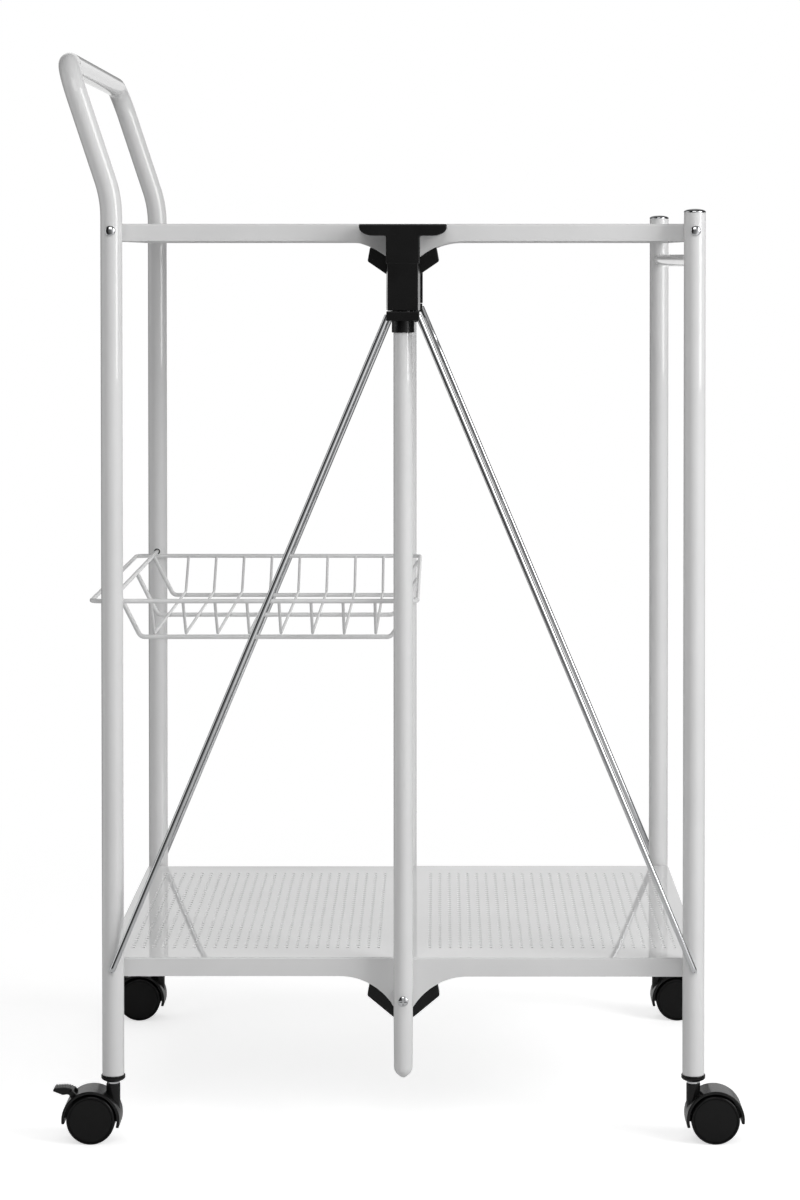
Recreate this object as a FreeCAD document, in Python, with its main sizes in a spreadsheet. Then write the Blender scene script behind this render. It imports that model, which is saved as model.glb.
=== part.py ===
"""Folding kitchen trolley: two tube frames, four hinged shelf panels, sliding centre posts, rods and casters.

The trolley stands on the floor at Z = 0, centred on X = 0 and Y = 0.
Its length runs along X with the push handle at -X, its depth along Y with the front at -Y.
Two end frames carry a top and a bottom shelf. Each shelf is split at the middle and hinges on the
centre posts, so that lifting the posts draws the end frames together.
"""

import FreeCAD
import Part
import math
import os
from FreeCAD import Placement, Rotation, Vector

doc = FreeCAD.newDocument("folding_trolley")
sheet = doc.addObject("Spreadsheet::Sheet", "Sizes")

SIZES = (
    # End frames
    ("leg_spacing", "479", "left leg axis to right leg axis"),
    ("frame_depth", "410", "front leg axis to back leg axis"),
    ("tube_diameter", "18", "frame tube"),
    ("tube_wall", "1.2", "frame and post tube"),
    ("right_leg_rise", "9", "right leg tubes above the top shelf"),
    ("cap_rise", "3.5", "domed cap above the right legs"),
    ("cap_depth", "7", "domed cap inside the right legs"),
    ("plug_depth", "30", "foot plugs and post tips inside the tubes"),
    ("handle_rise", "121", "top of the push handle above its bend"),
    ("handle_bend_rise", "21", "where the handle leaves the upright, above the top shelf"),
    ("handle_lean", "18.3", "handle against the upright, degrees"),
    ("handle_bend_radius", "100", "centreline, at the foot of the handle"),
    ("handle_corner_radius", "30", "centreline, at the ends of the crossbar"),
    ("rail_diameter", "11", "rail between the right legs"),
    ("rail_drop", "30.4", "axis of the rail below the top shelf"),
    # Shelves
    ("top_surface", "757", "upper face of the top shelf"),
    ("bottom_surface", "148.5", "upper face of the bottom shelf"),
    ("sheet_thickness", "1", "shelf sheet"),
    ("skirt_height", "15", "folded edge of the panels"),
    ("panel_overhang", "8.8", "panel end beyond the leg axis"),
    ("panel_gap", "0.8", "between the panels of a shelf"),
    ("skirt_to_leg", "2.5", "right panel skirt to the legs"),
    ("ear_layer_gap", "1", "between the ears of the two panels"),
    ("panel_edge_radius", "1.5", "rounded upper edge of the panels"),
    ("pivot_drop", "6", "leg pivots below the shelf surface"),
    ("hinge_drop", "33.6", "centre hinge below the shelf surface"),
    ("ear_eye_radius", "10.6", "round end of the ear"),
    ("ear_flare_radius", "53", "hollow curve between skirt and eye"),
    ("grid_pitch", "26.5", "openings in the panels, centre to centre"),
    ("grid_hole_diameter", "14", "openings in the panels"),
    ("grid_middle_margin", "16", "opening grid from the middle of the trolley"),
    ("grid_end_margin", "19", "opening grid from the end of the panel"),
    ("grid_side_margin", "32", "opening grid from the skirts"),
    # Pivots
    ("pin_diameter", "5", "leg rivets and rods"),
    ("pin_play", "0.1", "radial play of a pin in its hole"),
    ("rivet_head_diameter", "8.5", "rivet heads"),
    ("rivet_head_height", "2.4", "rivet heads"),
    ("spacer_diameter", "10", "washers between legs and skirts"),
    # Centre posts
    ("post_diameter", "16", "post tube and its tip"),
    ("tip_length", "10", "rounded tip under the post tube"),
    ("tip_bottom", "53.4", "rounded end of the tip"),
    ("boss_diameter", "9", "hinge boss through the ears"),
    ("bracket_depth", "13", "hinge bracket along Y"),
    ("bracket_side_gap", "0.5", "bracket to the left skirt"),
    ("bracket_top_drop", "21.6", "bracket top below the shelf surface"),
    ("bracket_corner_drop", "31.9", "bracket wing tip below the surface"),
    ("bracket_foot_drop", "49.3", "bracket foot below the surface"),
    ("bracket_top_width", "56.4", "bracket at the top"),
    ("bracket_corner_width", "60.6", "bracket at the wing tips"),
    ("bracket_foot_width", "16.6", "bracket at the foot"),
    ("screw_diameter", "4", "hinge screws and pins"),
    ("screw_head_diameter", "8.5", "hinge screws"),
    ("screw_head_height", "2.6", "hinge screws"),
    # Hinge heads and collars
    ("head_cap_width", "71.8", "cross piece of the head"),
    ("head_cap_height", "8.8", "cross piece of the head"),
    ("head_cap_drop", "0.5", "cross piece below the shelf surface"),
    ("head_bar_width", "27.3", "upright of the head"),
    ("head_bar_height", "61.3", "upright of the head under the cross piece"),
    ("head_inner_wall", "2.4", "head inward of the post tube"),
    ("head_outer_wall", "9", "head outward of the post tube"),
    ("head_edge_radius", "1.2", "rounded outer edges of the head"),
    ("collar_gap", "0.7", "between head and collar"),
    ("collar_cheek_height", "7.6", "collar, part that takes the rods"),
    ("collar_cheek_width", "27", "collar along X"),
    ("collar_cheek_thickness", "2.6", "outer cheek of the collar"),
    ("collar_web_width", "16", "collar between the rod slots"),
    ("collar_neck_height", "9.8", "round lower part of the collar"),
    ("collar_wall", "1", "round lower part of the collar"),
    ("collar_play", "0.2", "radial play of the collar on the post"),
    ("collar_ledge", "0.8", "collar block beyond the neck, towards the middle of the trolley"),
    # Rods
    ("rod_gap", "1", "rods to the outside of the legs"),
    ("rod_bend_radius", "4", "centreline, at the lower end"),
    ("rod_top_reach", "12.5", "rod end from the post axis"),
    ("rod_top_drop", "3.7", "rod end below the top of the collar"),
    ("rod_slot_play", "0.3", "rod in the slot of the collar"),
    # Basket
    ("rim_diameter", "3.8", "rim, long and pivot wires"),
    ("cross_diameter", "2.5", "cross wires"),
    ("rim_height", "445", "axis of the rim wire"),
    ("rim_left", "19", "rim beyond the left leg axis"),
    ("rim_right", "11.5", "rim beyond the post axis"),
    ("rim_to_leg", "4", "rim axis to the inside of the legs"),
    ("rim_corner_radius", "8", "centreline"),
    ("basket_pivot_rise", "3.7", "left pivot wire above the rim"),
    ("floor_drop", "33.7", "long wires in the floor below the rim"),
    ("floor_left", "18.9", "floor corner right of the left leg axis"),
    ("floor_right", "11", "floor corner left of the post axis"),
    ("floor_inset", "33", "outer long wires inward of the rim"),
    ("wire_bend_radius", "6", "centreline"),
    ("cross_wire_count", "8", "wires across the floor"),
    ("cross_wire_first", "30.5", "first cross wire right of the left leg axis"),
    ("cross_wire_last", "23.5", "last cross wire left of the post axis"),
    ("wire_hole_play", "1", "radial play of the pivot wires"),
    ("weld_depth", "0.1", "wires sunk into each other at the welds"),
    # Casters
    ("flange_diameter", "20", "foot plug flange"),
    ("flange_height", "5", "foot plug flange"),
    ("stem_diameter", "8", "caster stem"),
    ("neck_diameter", "11.5", "caster neck"),
    ("neck_rise", "4.8", "caster neck above the hood"),
    ("caster_gap", "1.2", "caster neck to the foot plug"),
    ("wheel_diameter", "40", "wheel"),
    ("wheel_width", "10.5", "one wheel"),
    ("wheel_web_gap", "0.5", "wheels to the web between them"),
    ("axle_diameter", "5", "wheel axle"),
    ("trail", "17.5", "stem axis to wheel axle"),
    ("hood_gap", "1.5", "hood to the wheels"),
    ("hood_thickness", "2.5", "hood shell"),
    ("web_thickness", "7", "caster web between the wheels"),
    ("hood_far_drop", "3.2", "hood end away from the stem, below the axle"),
    ("hood_near_drop", "6.3", "hood end near the stem, below the axle"),
    ("pedal_width", "12", "brake pedal along the axle"),
    ("pedal_pivot_rise", "2.1", "pedal pivot above the hood"),
    ("pedal_pivot_angle", "52", "pedal pivot above the level, degrees"),
    ("pedal_pin_diameter", "2.4", "pedal trunnions"),
    ("pedal_ear_thickness", "2", "ears on the hood beside the pedal"),
    ("pedal_side_gap", "0.3", "pedal to its ears"),
    # Places that follow from the sizes above
    ("half_spacing", "=leg_spacing / 2", "leg axes from the middle"),
    ("half_depth", "=frame_depth / 2", "leg and post axes from the middle"),
    ("tube_radius", "=tube_diameter / 2", "frame tube"),
    ("tube_bore", "=tube_diameter - 2 * tube_wall", "inside of the frame tube"),
    ("post_radius", "=post_diameter / 2", "post tube"),
    ("post_bore", "=post_diameter - 2 * tube_wall", "inside of the post tube"),
    ("wheel_radius", "=wheel_diameter / 2", "wheel and axle height"),
    ("wheel_inset", "=web_thickness / 2 + wheel_web_gap", "inner wheel face from the caster middle"),
    ("hood_radius", "=wheel_radius + hood_gap + hood_thickness", "outside of the hood"),
    ("pedal_pivot_radius", "=hood_radius + pedal_pivot_rise", "pedal pivot from the wheel axle"),
    ("neck_top", "=wheel_radius + hood_radius + neck_rise", "caster neck above the floor"),
    ("leg_bottom", "=neck_top + caster_gap + flange_height", "lower end of the leg tubes"),
    ("right_leg_top", "=top_surface + right_leg_rise", "upper end of the right leg tubes"),
    ("handle_bend_height", "=top_surface + handle_bend_rise", "where the handle leaves the upright"),
    ("handle_height", "=handle_bend_height + handle_rise", "top of the push handle"),
    ("rail_height", "=top_surface - rail_drop", "axis of the rail"),
    ("top_pivot", "=top_surface - pivot_drop", "leg pivots of the top shelf"),
    ("bottom_pivot", "=bottom_surface - pivot_drop", "leg pivots of the bottom shelf"),
    ("top_hinge", "=top_surface - hinge_drop", "centre hinge of the top shelf"),
    ("bottom_hinge", "=bottom_surface - hinge_drop", "centre hinge of the bottom shelf"),
    ("right_half", "=half_depth - tube_radius - skirt_to_leg", "right skirts from the middle"),
    ("left_half", "=right_half - sheet_thickness - ear_layer_gap", "left skirts from the middle"),
    ("bracket_outer", "=left_half - sheet_thickness - bracket_side_gap", "outer face of the brackets"),
    ("post_tube_bottom", "=tip_bottom + tip_length", "lower end of the post tube"),
    ("head_cap_top", "=top_surface - head_cap_drop", "top of the head"),
    ("head_cap_bottom", "=head_cap_top - head_cap_height", "under the cross piece"),
    ("head_bar_bottom", "=head_cap_bottom - head_bar_height", "lower end of the head"),
    ("head_inner_depth", "=post_radius + head_inner_wall", "head inward of the post axis"),
    ("head_outer_depth", "=post_radius + head_outer_wall", "head outward of the post axis"),
    ("collar_top", "=head_bar_bottom - collar_gap", "top of the collar"),
    ("collar_step", "=collar_top - collar_cheek_height", "between cheek and neck"),
    ("collar_bottom", "=collar_step - collar_neck_height", "lower end of the collar"),
    ("collar_neck_diameter", "=post_diameter + 2 * (collar_play + collar_wall)", "collar neck"),
    ("rod_offset", "=tube_radius + rod_gap + pin_diameter / 2", "plane of the rods outward of the legs"),
    ("rod_top_height", "=collar_top - rod_top_drop", "rod end above the floor"),
    ("rim_depth", "=frame_depth - tube_diameter - 2 * rim_to_leg", "front to back between rim axes"),
    ("floor_depth", "=rim_depth - 2 * floor_inset", "between the outer long wires"),
    ("floor_height", "=rim_height - floor_drop", "axis of the long wires in the floor"),
    ("cross_wire_span", "=half_spacing - cross_wire_first - cross_wire_last", "first to last cross wire"),
    ("cross_wire_pitch", "=cross_wire_span / (cross_wire_count - 1)", "between cross wires"),
    ("basket_pivot", "=rim_height + basket_pivot_rise", "left pivot wire"),
    ("basket_post_pivot", "=basket_pivot - hinge_drop + pivot_drop", "right pivot wire"),
    ("hinge_hole", "=boss_diameter + 2 * pin_play", "hole in the ears"),
    ("pin_hole", "=pin_diameter + 2 * pin_play", "hole for rivets and rods"),
    ("wire_hole", "=rim_diameter + 2 * wire_hole_play", "holes for the basket's pivot wires"),
)

for row, (alias, content, meaning) in enumerate(SIZES, start=1):
    sheet.set(f"A{row}", meaning)
    sheet.set(f"B{row}", content)
    sheet.setAlias(f"B{row}", alias)
doc.recompute()


class SheetReader:
    """Gives the sheet's values as plain numbers, by alias."""

    def __getattr__(self, alias):
        return float(sheet.get(alias))


s = SheetReader()

FRONT, BACK = -1, 1
LEFT, RIGHT = -1, 1
ROWS = (("front", FRONT), ("back", BACK))
SIDES = (("left", LEFT), ("right", RIGHT))
UP = Vector(0, 0, 1)
HALF_TURN = Rotation(UP, 180)
nodes = []


def node(label, item):
    """Name a finished piece and put it in the list that is written out."""
    item.Label = label
    nodes.append(item)
    return item


def place(item, x, y, z, rotation=Rotation()):
    """Turn an item and tie its position to the sheet."""
    item.Placement = Placement(Vector(0, 0, 0), rotation)
    item.setExpression("Placement.Base.x", x)
    item.setExpression("Placement.Base.y", y)
    item.setExpression("Placement.Base.z", z)
    return item


def cylinder(name, diameter, length, x, y, z, direction=UP):
    """Return a round bar; its sizes and its start point are expressions on the sheet."""
    bar = doc.addObject("Part::Cylinder", name)
    bar.setExpression("Radius", f"({diameter}) / 2")
    bar.setExpression("Height", length)
    return place(bar, x, y, z, Rotation(UP, direction))


def group(name, members):
    """Return one compound of several separate solids."""
    compound = doc.addObject("Part::Compound", name)
    compound.Links = members
    return compound


def cut(name, base, tools):
    """Return the base with all the tools taken away."""
    result = doc.addObject("Part::Cut", name)
    result.Base = base
    result.Tool = tools[0] if len(tools) == 1 else group(f"{name}_tools", tools)
    return result


def rounded_curves(corners, closed=False):
    """Return the lines and tangent arcs through corners given as (point, bend radius)."""
    count = len(corners)
    joins = []
    for index, (point, radius) in enumerate(corners):
        is_end = not closed and index in (0, count - 1)
        if is_end or radius == 0:
            joins.append((point, None, point))
            continue
        before = (corners[index - 1][0] - point).normalize()
        after = (corners[(index + 1) % count][0] - point).normalize()
        half_angle = before.getAngle(after) / 2
        setback = radius / math.tan(half_angle)
        inward = (before + after).normalize()
        middle = point + inward * (radius / math.sin(half_angle) - radius)
        joins.append((point + before * setback, middle, point + after * setback))
    curves = []
    for index, (arrive, middle, leave) in enumerate(joins):
        if middle is not None:
            curves.append(Part.Arc(arrive, middle, leave))
        if closed or index < count - 1:
            curves.append(Part.LineSegment(leave, joins[(index + 1) % count][0]))
    return curves


def bent_bar(name, corners, diameter, closed=False):
    """Return a round bar swept along a path of straights and bends."""
    path = doc.addObject("Part::Feature", f"{name}_path")
    path.Shape = Part.Wire([curve.toShape() for curve in rounded_curves(corners, closed)])
    first = path.Shape.OrderedEdges[0]
    tangent = first.tangentAt(first.FirstParameter)
    section = doc.addObject("Part::Circle", f"{name}_section")
    section.setExpression("Radius", f"({diameter}) / 2")
    section.Placement = Placement(first.valueAt(first.FirstParameter), Rotation(UP, tangent))
    bar = doc.addObject("Part::Sweep", name)
    bar.Sections = [section]
    bar.Spine = (path, [f"Edge{number}" for number in range(1, len(path.Shape.Edges) + 1)])
    bar.Solid = True
    bar.Frenet = False
    return bar


def new_body(name):
    """Return an empty PartDesign body."""
    return doc.addObject("PartDesign::Body", name)


def origin_plane(body, role):
    """Return one of the body's own origin planes."""
    return next(feature for feature in body.Origin.OriginFeatures if feature.Role == role)


def sketch(body, name, role, curves, offset=0.0):
    """Return a sketch on an origin plane, moved along the plane's normal (which is -Y for XZ)."""
    drawing = body.newObject("Sketcher::SketchObject", name)
    drawing.AttachmentSupport = [(origin_plane(body, role), "")]
    drawing.MapMode = "FlatFace"
    drawing.AttachmentOffset = Placement(Vector(0, 0, offset), Rotation())
    for curve in curves:
        drawing.addGeometry(curve, False)
    return drawing


def extrude(body, kind, drawing, length, symmetric=False, reverse=False):
    """Add a Pad or a Pocket whose length is an expression on the sheet."""
    feature = body.newObject(f"PartDesign::{kind}", f"{drawing.Name}_{kind.lower()}")
    feature.Profile = drawing
    feature.setExpression("Length", length)
    feature.SideType = "Symmetric" if symmetric else "One side"
    feature.Reversed = reverse
    body.Tip = feature
    doc.recompute()
    return feature


def mirror(body, feature, role):
    """Repeat one feature on the other side of an origin plane."""
    copy = body.newObject("PartDesign::Mirrored", f"{feature.Name}_mirrored")
    copy.Originals = [feature]
    copy.MirrorPlane = (origin_plane(body, role), [""])
    body.Tip = copy
    doc.recompute()
    return copy


def round_edges(body, feature, edges, radius):
    """Round some edges of a feature; the radius is an expression on the sheet."""
    fillet = body.newObject("PartDesign::Fillet", f"{feature.Name}_rounded")
    fillet.Base = (feature, edges)
    fillet.setExpression("Radius", radius)
    body.Tip = fillet
    doc.recompute()
    return fillet


def turned_body(name, profile):
    """Return a body turned about its own Z axis from a closed profile in (radius, height)."""
    body = new_body(name)
    drawing = sketch(body, f"{name}_profile", "XZ_Plane", profile)
    turn = body.newObject("PartDesign::Revolution", f"{name}_turn")
    turn.Profile = drawing
    turn.ReferenceAxis = (drawing, ["V_Axis"])
    turn.Angle = 360
    body.Tip = turn
    return body


def polygon(points):
    """Return the closed outline through flat points, each (x, y) or (x, y, corner radius)."""
    corners = [(Vector(point[0], point[1], 0), point[2] if len(point) > 2 else 0) for point in points]
    return rounded_curves(corners, closed=True)


def circle(x, y, diameter):
    """Return a full circle for a sketch."""
    return Part.Circle(Vector(x, y, 0), UP, diameter / 2)


def rectangle(left, right, low, high):
    """Return a rectangle for a sketch."""
    return polygon([(left, low), (right, low), (right, high), (left, high)])


def outward(row):
    """Return the direction that leaves the trolley at the front or at the back."""
    return Vector(0, row, 0)


def cross_hole(name, diameter, side, row, height):
    """Return a hole tool right through a leg, along Y."""
    x = f"{side} * Sizes.half_spacing"
    y = f"{row} * (Sizes.half_depth - Sizes.tube_diameter)"
    return cylinder(name, diameter, "2 * Sizes.tube_diameter", x, y, height, outward(row))


def inner_wall_hole(name, x, row, height):
    """Return a hole tool through the inner wall of a leg or post, for a pivot wire of the basket."""
    y = f"{row} * (Sizes.half_depth - Sizes.tube_diameter)"
    return cylinder(name, "Sizes.wire_hole", "Sizes.tube_diameter", x, y, height, outward(row))


# End frames

def leg_holes(name, side, row):
    """Return the tools for the two shelf pivots of a leg."""
    return [
        cross_hole(f"{name}_top_hole", "Sizes.pin_hole", side, row, "Sizes.top_pivot"),
        cross_hole(f"{name}_bottom_hole", "Sizes.pin_hole", side, row, "Sizes.bottom_pivot"),
    ]


def build_handle_frame():
    """Build the left front leg, push handle and left back leg as one bent tube."""
    crossbar = s.handle_height - s.tube_radius
    rise = crossbar - s.handle_bend_height
    handle_x = -s.half_spacing - rise * math.tan(math.radians(s.handle_lean))
    front_half = [
        (Vector(-s.half_spacing, -s.half_depth, s.leg_bottom), 0),
        (Vector(-s.half_spacing, -s.half_depth, s.handle_bend_height), s.handle_bend_radius),
        (Vector(handle_x, -s.half_depth, crossbar), s.handle_corner_radius),
    ]
    back_half = [(Vector(p.x, -p.y, p.z), radius) for p, radius in reversed(front_half)]
    corners = front_half + back_half
    outside = bent_bar("handle_outside", corners, "Sizes.tube_diameter")
    inside = bent_bar("handle_inside", corners, "Sizes.tube_bore")
    tube = cut("handle_tube", outside, [inside])
    tools = []
    for row_name, row in ROWS:
        tools += leg_holes(f"handle_{row_name}", LEFT, row)
        tools.append(inner_wall_hole(
            f"handle_{row_name}_basket_hole", "-Sizes.half_spacing", row, "Sizes.basket_pivot"))
    node("handle_frame", cut("handle_drilled", tube, tools))


def round_tube(name, kind, length, x, y, z):
    """Return an upright piece of the frame's tube or of the posts' tube."""
    outside = cylinder(f"{name}_outside", f"Sizes.{kind}_diameter", length, x, y, z)
    inside = cylinder(f"{name}_inside", f"Sizes.{kind}_bore", length, x, y, z)
    return cut(f"{name}_tube", outside, [inside])


def build_right_legs():
    """Build the two right legs and the rail between them, coped to their round sides."""
    length = "Sizes.right_leg_top - Sizes.leg_bottom"
    for row_name, row in ROWS:
        name = f"right_leg_{row_name}"
        tube = round_tube(name, "tube", length, "Sizes.half_spacing", f"{row} * Sizes.half_depth",
                          "Sizes.leg_bottom")
        node(name, cut(f"{name}_drilled", tube, leg_holes(name, RIGHT, row)))
    bar = cylinder("rail_bar", "Sizes.rail_diameter", "Sizes.frame_depth", "Sizes.half_spacing",
                   "-Sizes.half_depth", "Sizes.rail_height", outward(BACK))
    copes = [
        cylinder(f"rail_cope_{row_name}", "Sizes.tube_diameter", "4 * Sizes.rail_diameter",
                 "Sizes.half_spacing", f"{row} * Sizes.half_depth",
                 "Sizes.rail_height - 2 * Sizes.rail_diameter")
        for row_name, row in ROWS
    ]
    node("cross_rail", cut("rail_coped", bar, copes))


def build_leg_caps():
    """Build the domed caps that close the right legs."""
    plug_radius = s.tube_bore / 2
    rim = s.cap_rise / 4
    shoulder = Vector(s.tube_radius, rim, 0)
    crown = Vector(0, s.cap_rise, 0)
    across = s.tube_radius
    dome_rise = s.cap_rise - rim
    dome_radius = (across ** 2 + dome_rise ** 2) / (2 * dome_rise)
    half_way = across / 2
    middle = Vector(half_way, s.cap_rise - dome_radius + math.sqrt(dome_radius ** 2 - half_way ** 2), 0)
    lower = [(0, -s.cap_depth), (plug_radius, -s.cap_depth), (plug_radius, 0), (s.tube_radius, 0),
             (s.tube_radius, rim)]
    points = [Vector(radius, height, 0) for radius, height in lower]
    caps = []
    for row_name, row in ROWS:
        outline = [Part.LineSegment(start, end) for start, end in zip(points, points[1:])]
        outline.append(Part.Arc(shoulder, middle, crown))
        outline.append(Part.LineSegment(crown, points[0]))
        cap = turned_body(f"cap_{row_name}", outline)
        caps.append(place(cap, "Sizes.half_spacing", f"{row} * Sizes.half_depth", "Sizes.right_leg_top"))
    node("right_leg_caps", group("caps", caps))


def build_foot_plugs(side_name, side):
    """Build the flanged plugs that hold the caster stems in the legs of one side."""
    bore = s.stem_diameter / 2 + s.pin_play
    outline = [
        (bore, -s.flange_height),
        (s.neck_diameter / 2, -s.flange_height),
        (s.flange_diameter / 2, -s.flange_height / 2, 1),
        (s.flange_diameter / 2, 0, 0.6),
        (s.tube_bore / 2, 0),
        (s.tube_bore / 2, s.plug_depth),
        (bore, s.plug_depth),
    ]
    plugs = []
    for row_name, row in ROWS:
        plug = turned_body(f"plug_{side_name}_{row_name}", polygon(outline))
        plugs.append(place(
            plug, f"{side} * Sizes.half_spacing", f"{row} * Sizes.half_depth", "Sizes.leg_bottom"))
    node(f"{side_name}_foot_plugs", group(f"plugs_{side_name}", plugs))


def skirt_half(side):
    """Return the name of the size that places the skirts of one side's panels."""
    return "left_half" if side == LEFT else "right_half"


def build_top_rivets(side_name, side):
    """Build the rivets that join the top panel to the legs of one side."""
    skirt_inside = getattr(s, skirt_half(side)) - s.sheet_thickness
    shank = s.half_depth + s.tube_radius - skirt_inside + s.pin_play
    tail = shank + s.sheet_thickness
    tail_radius = 0.7 * s.pin_diameter
    head_radius = s.rivet_head_diameter / 2
    outline = [
        (0, -tail),
        (tail_radius, -tail, 0.4),
        (tail_radius, -shank),
        (s.pin_diameter / 2, -shank),
        (s.pin_diameter / 2, 0),
        (head_radius, 0),
        (head_radius, 0.9 * s.rivet_head_height, s.rivet_head_height / 2),
        (0, s.rivet_head_height),
    ]
    rivets = []
    for row_name, row in ROWS:
        rivet = turned_body(f"rivet_{side_name}_{row_name}", polygon(outline))
        rivets.append(place(rivet, f"{side} * Sizes.half_spacing",
                            f"{row} * (Sizes.half_depth + Sizes.tube_radius)", "Sizes.top_pivot",
                            Rotation(UP, outward(row))))
    node(f"{side_name}_top_rivets", group(f"rivets_{side_name}", rivets))


def build_spacers(side_name, side):
    """Build the washers between the skirts and the legs of one side, hollowed to sit on the tube."""
    half = f"Sizes.{skirt_half(side)}"
    x = f"{side} * Sizes.half_spacing"
    washers = []
    for row_name, row in ROWS:
        for level in ("top", "bottom"):
            name = f"spacer_{side_name}_{row_name}_{level}"
            z = f"Sizes.{level}_pivot"
            y = f"{row} * ({half} + Sizes.pin_play)"
            length = f"Sizes.half_depth - {half} - Sizes.tube_wall - Sizes.pin_play"
            blank = cylinder(f"{name}_blank", "Sizes.spacer_diameter", length, x, y, z, outward(row))
            bore = cylinder(f"{name}_bore", "Sizes.pin_hole", length, x, y, z, outward(row))
            leg = cylinder(f"{name}_leg", "Sizes.tube_diameter", "4 * Sizes.spacer_diameter", x,
                           f"{row} * Sizes.half_depth", f"{z} - 2 * Sizes.spacer_diameter")
            drilled = cut(f"{name}_drilled", blank, [bore])
            washers.append(cut(name, drilled, [leg]))
    node(f"{side_name}_spacers", group(f"spacers_{side_name}", washers))


# Shelf panels

def ear_outline(side, surface):
    """Return the ear below the skirt: a hollow flare that runs into a round eye at the centre hinge."""
    def point(out, drop):
        return Vector(side * out, surface - drop, 0)

    eye = s.ear_eye_radius
    flare = s.ear_flare_radius
    flare_drop = s.skirt_height + flare
    below_hinge = flare_drop - s.hinge_drop
    flare_out = math.sqrt((flare + eye) ** 2 - below_hinge ** 2)
    share = eye / (flare + eye)
    meet = point(share * flare_out, s.hinge_drop + share * below_hinge)
    edge = s.panel_gap / 2
    eye_top = point(edge, s.hinge_drop - math.sqrt(eye ** 2 - edge ** 2))
    eye_far = point(-eye * math.cos(math.pi / 6), s.hinge_drop + eye * math.sin(math.pi / 6))
    half_sweep = math.atan2(flare_out, below_hinge) / 2
    flare_middle = point(flare_out - flare * math.sin(half_sweep), flare_drop - flare * math.cos(half_sweep))
    flare_end = point(flare_out, s.skirt_height)
    inner_top = point(edge, s.panel_edge_radius + s.sheet_thickness)
    outer_top = point(flare_out, s.panel_edge_radius + s.sheet_thickness)
    return [
        Part.LineSegment(inner_top, eye_top),
        Part.Arc(eye_top, eye_far, meet),
        Part.Arc(meet, flare_middle, flare_end),
        Part.LineSegment(flare_end, outer_top),
        Part.LineSegment(outer_top, inner_top),
    ]


def panel_round_edges(panel, side, surface, half):
    """Return the upper edges and outer corners of a panel, which are folded round."""
    names = []
    outer_end = side * (s.half_spacing + s.panel_overhang)
    for number, edge in enumerate(panel.Shape.Edges, start=1):
        start, end = edge.firstVertex().Point, edge.lastVertex().Point
        on_top = abs(start.z - surface) < 1e-6 and abs(end.z - surface) < 1e-6
        at_outer_end = abs(start.x - outer_end) < 1e-6 and abs(end.x - outer_end) < 1e-6
        on_side = abs(abs(start.y) - half) < 1e-6 and abs(start.y - end.y) < 1e-6
        if (on_top and (at_outer_end or on_side)) or (at_outer_end and on_side):
            names.append(f"Edge{number}")
    return names


def panel_openings(side, half):
    """Return the openings of a panel, a coarse square grid that stands for its fine perforation."""
    room = s.half_spacing + s.panel_overhang - s.grid_middle_margin - s.grid_end_margin
    columns = int(room // s.grid_pitch)
    rows = int(2 * (half - s.grid_side_margin) // s.grid_pitch)
    return [
        circle(side * (s.grid_middle_margin + (column + 0.5) * s.grid_pitch),
               (row - (rows - 1) / 2) * s.grid_pitch, s.grid_hole_diameter)
        for column in range(columns) for row in range(rows)
    ]


def build_panel(level, side_name, side):
    """Build one half of a shelf: a tray of sheet with skirts on three sides and two hinge ears."""
    name = f"{level}_{side_name}_panel"
    surface = getattr(s, f"{level}_surface")
    half = getattr(s, skirt_half(side))
    depth = f"2 * Sizes.{skirt_half(side)}"
    inner_end = side * s.panel_gap / 2
    outer_end = side * (s.half_spacing + s.panel_overhang)
    inside_end = outer_end - side * s.sheet_thickness
    skirt_edge = surface - s.skirt_height
    body = new_body(f"{name}_body")
    block = sketch(body, f"{name}_block", "XZ_Plane", rectangle(inner_end, outer_end, skirt_edge, surface))
    solid = extrude(body, "Pad", block, depth, symmetric=True)
    round_edges(body, solid, panel_round_edges(solid, side, surface, half), "Sizes.panel_edge_radius")
    inner_half = half - s.sheet_thickness
    hollow = sketch(body, f"{name}_hollow", "XY_Plane",
                    rectangle(0, inside_end, -inner_half, inner_half), offset=skirt_edge)
    extrude(body, "Pocket", hollow, "Sizes.skirt_height - Sizes.sheet_thickness", reverse=True)
    ear = sketch(body, f"{name}_ear", "XZ_Plane", ear_outline(side, surface), offset=half)
    front_ear = extrude(body, "Pad", ear, "Sizes.sheet_thickness", reverse=True)
    mirror(body, front_ear, "XZ_Plane")
    holes = sketch(body, f"{name}_holes", "XZ_Plane", [
        circle(0, surface - s.hinge_drop, s.hinge_hole),
        circle(side * s.half_spacing, surface - s.pivot_drop, s.pin_hole),
    ])
    extrude(body, "Pocket", holes, "2 * Sizes.frame_depth", symmetric=True)
    grid = sketch(body, f"{name}_grid", "XY_Plane", panel_openings(side, half), offset=surface)
    extrude(body, "Pocket", grid, "2 * Sizes.sheet_thickness")
    node(name, body)


# Centre posts with their hinge brackets, heads and collars

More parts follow.
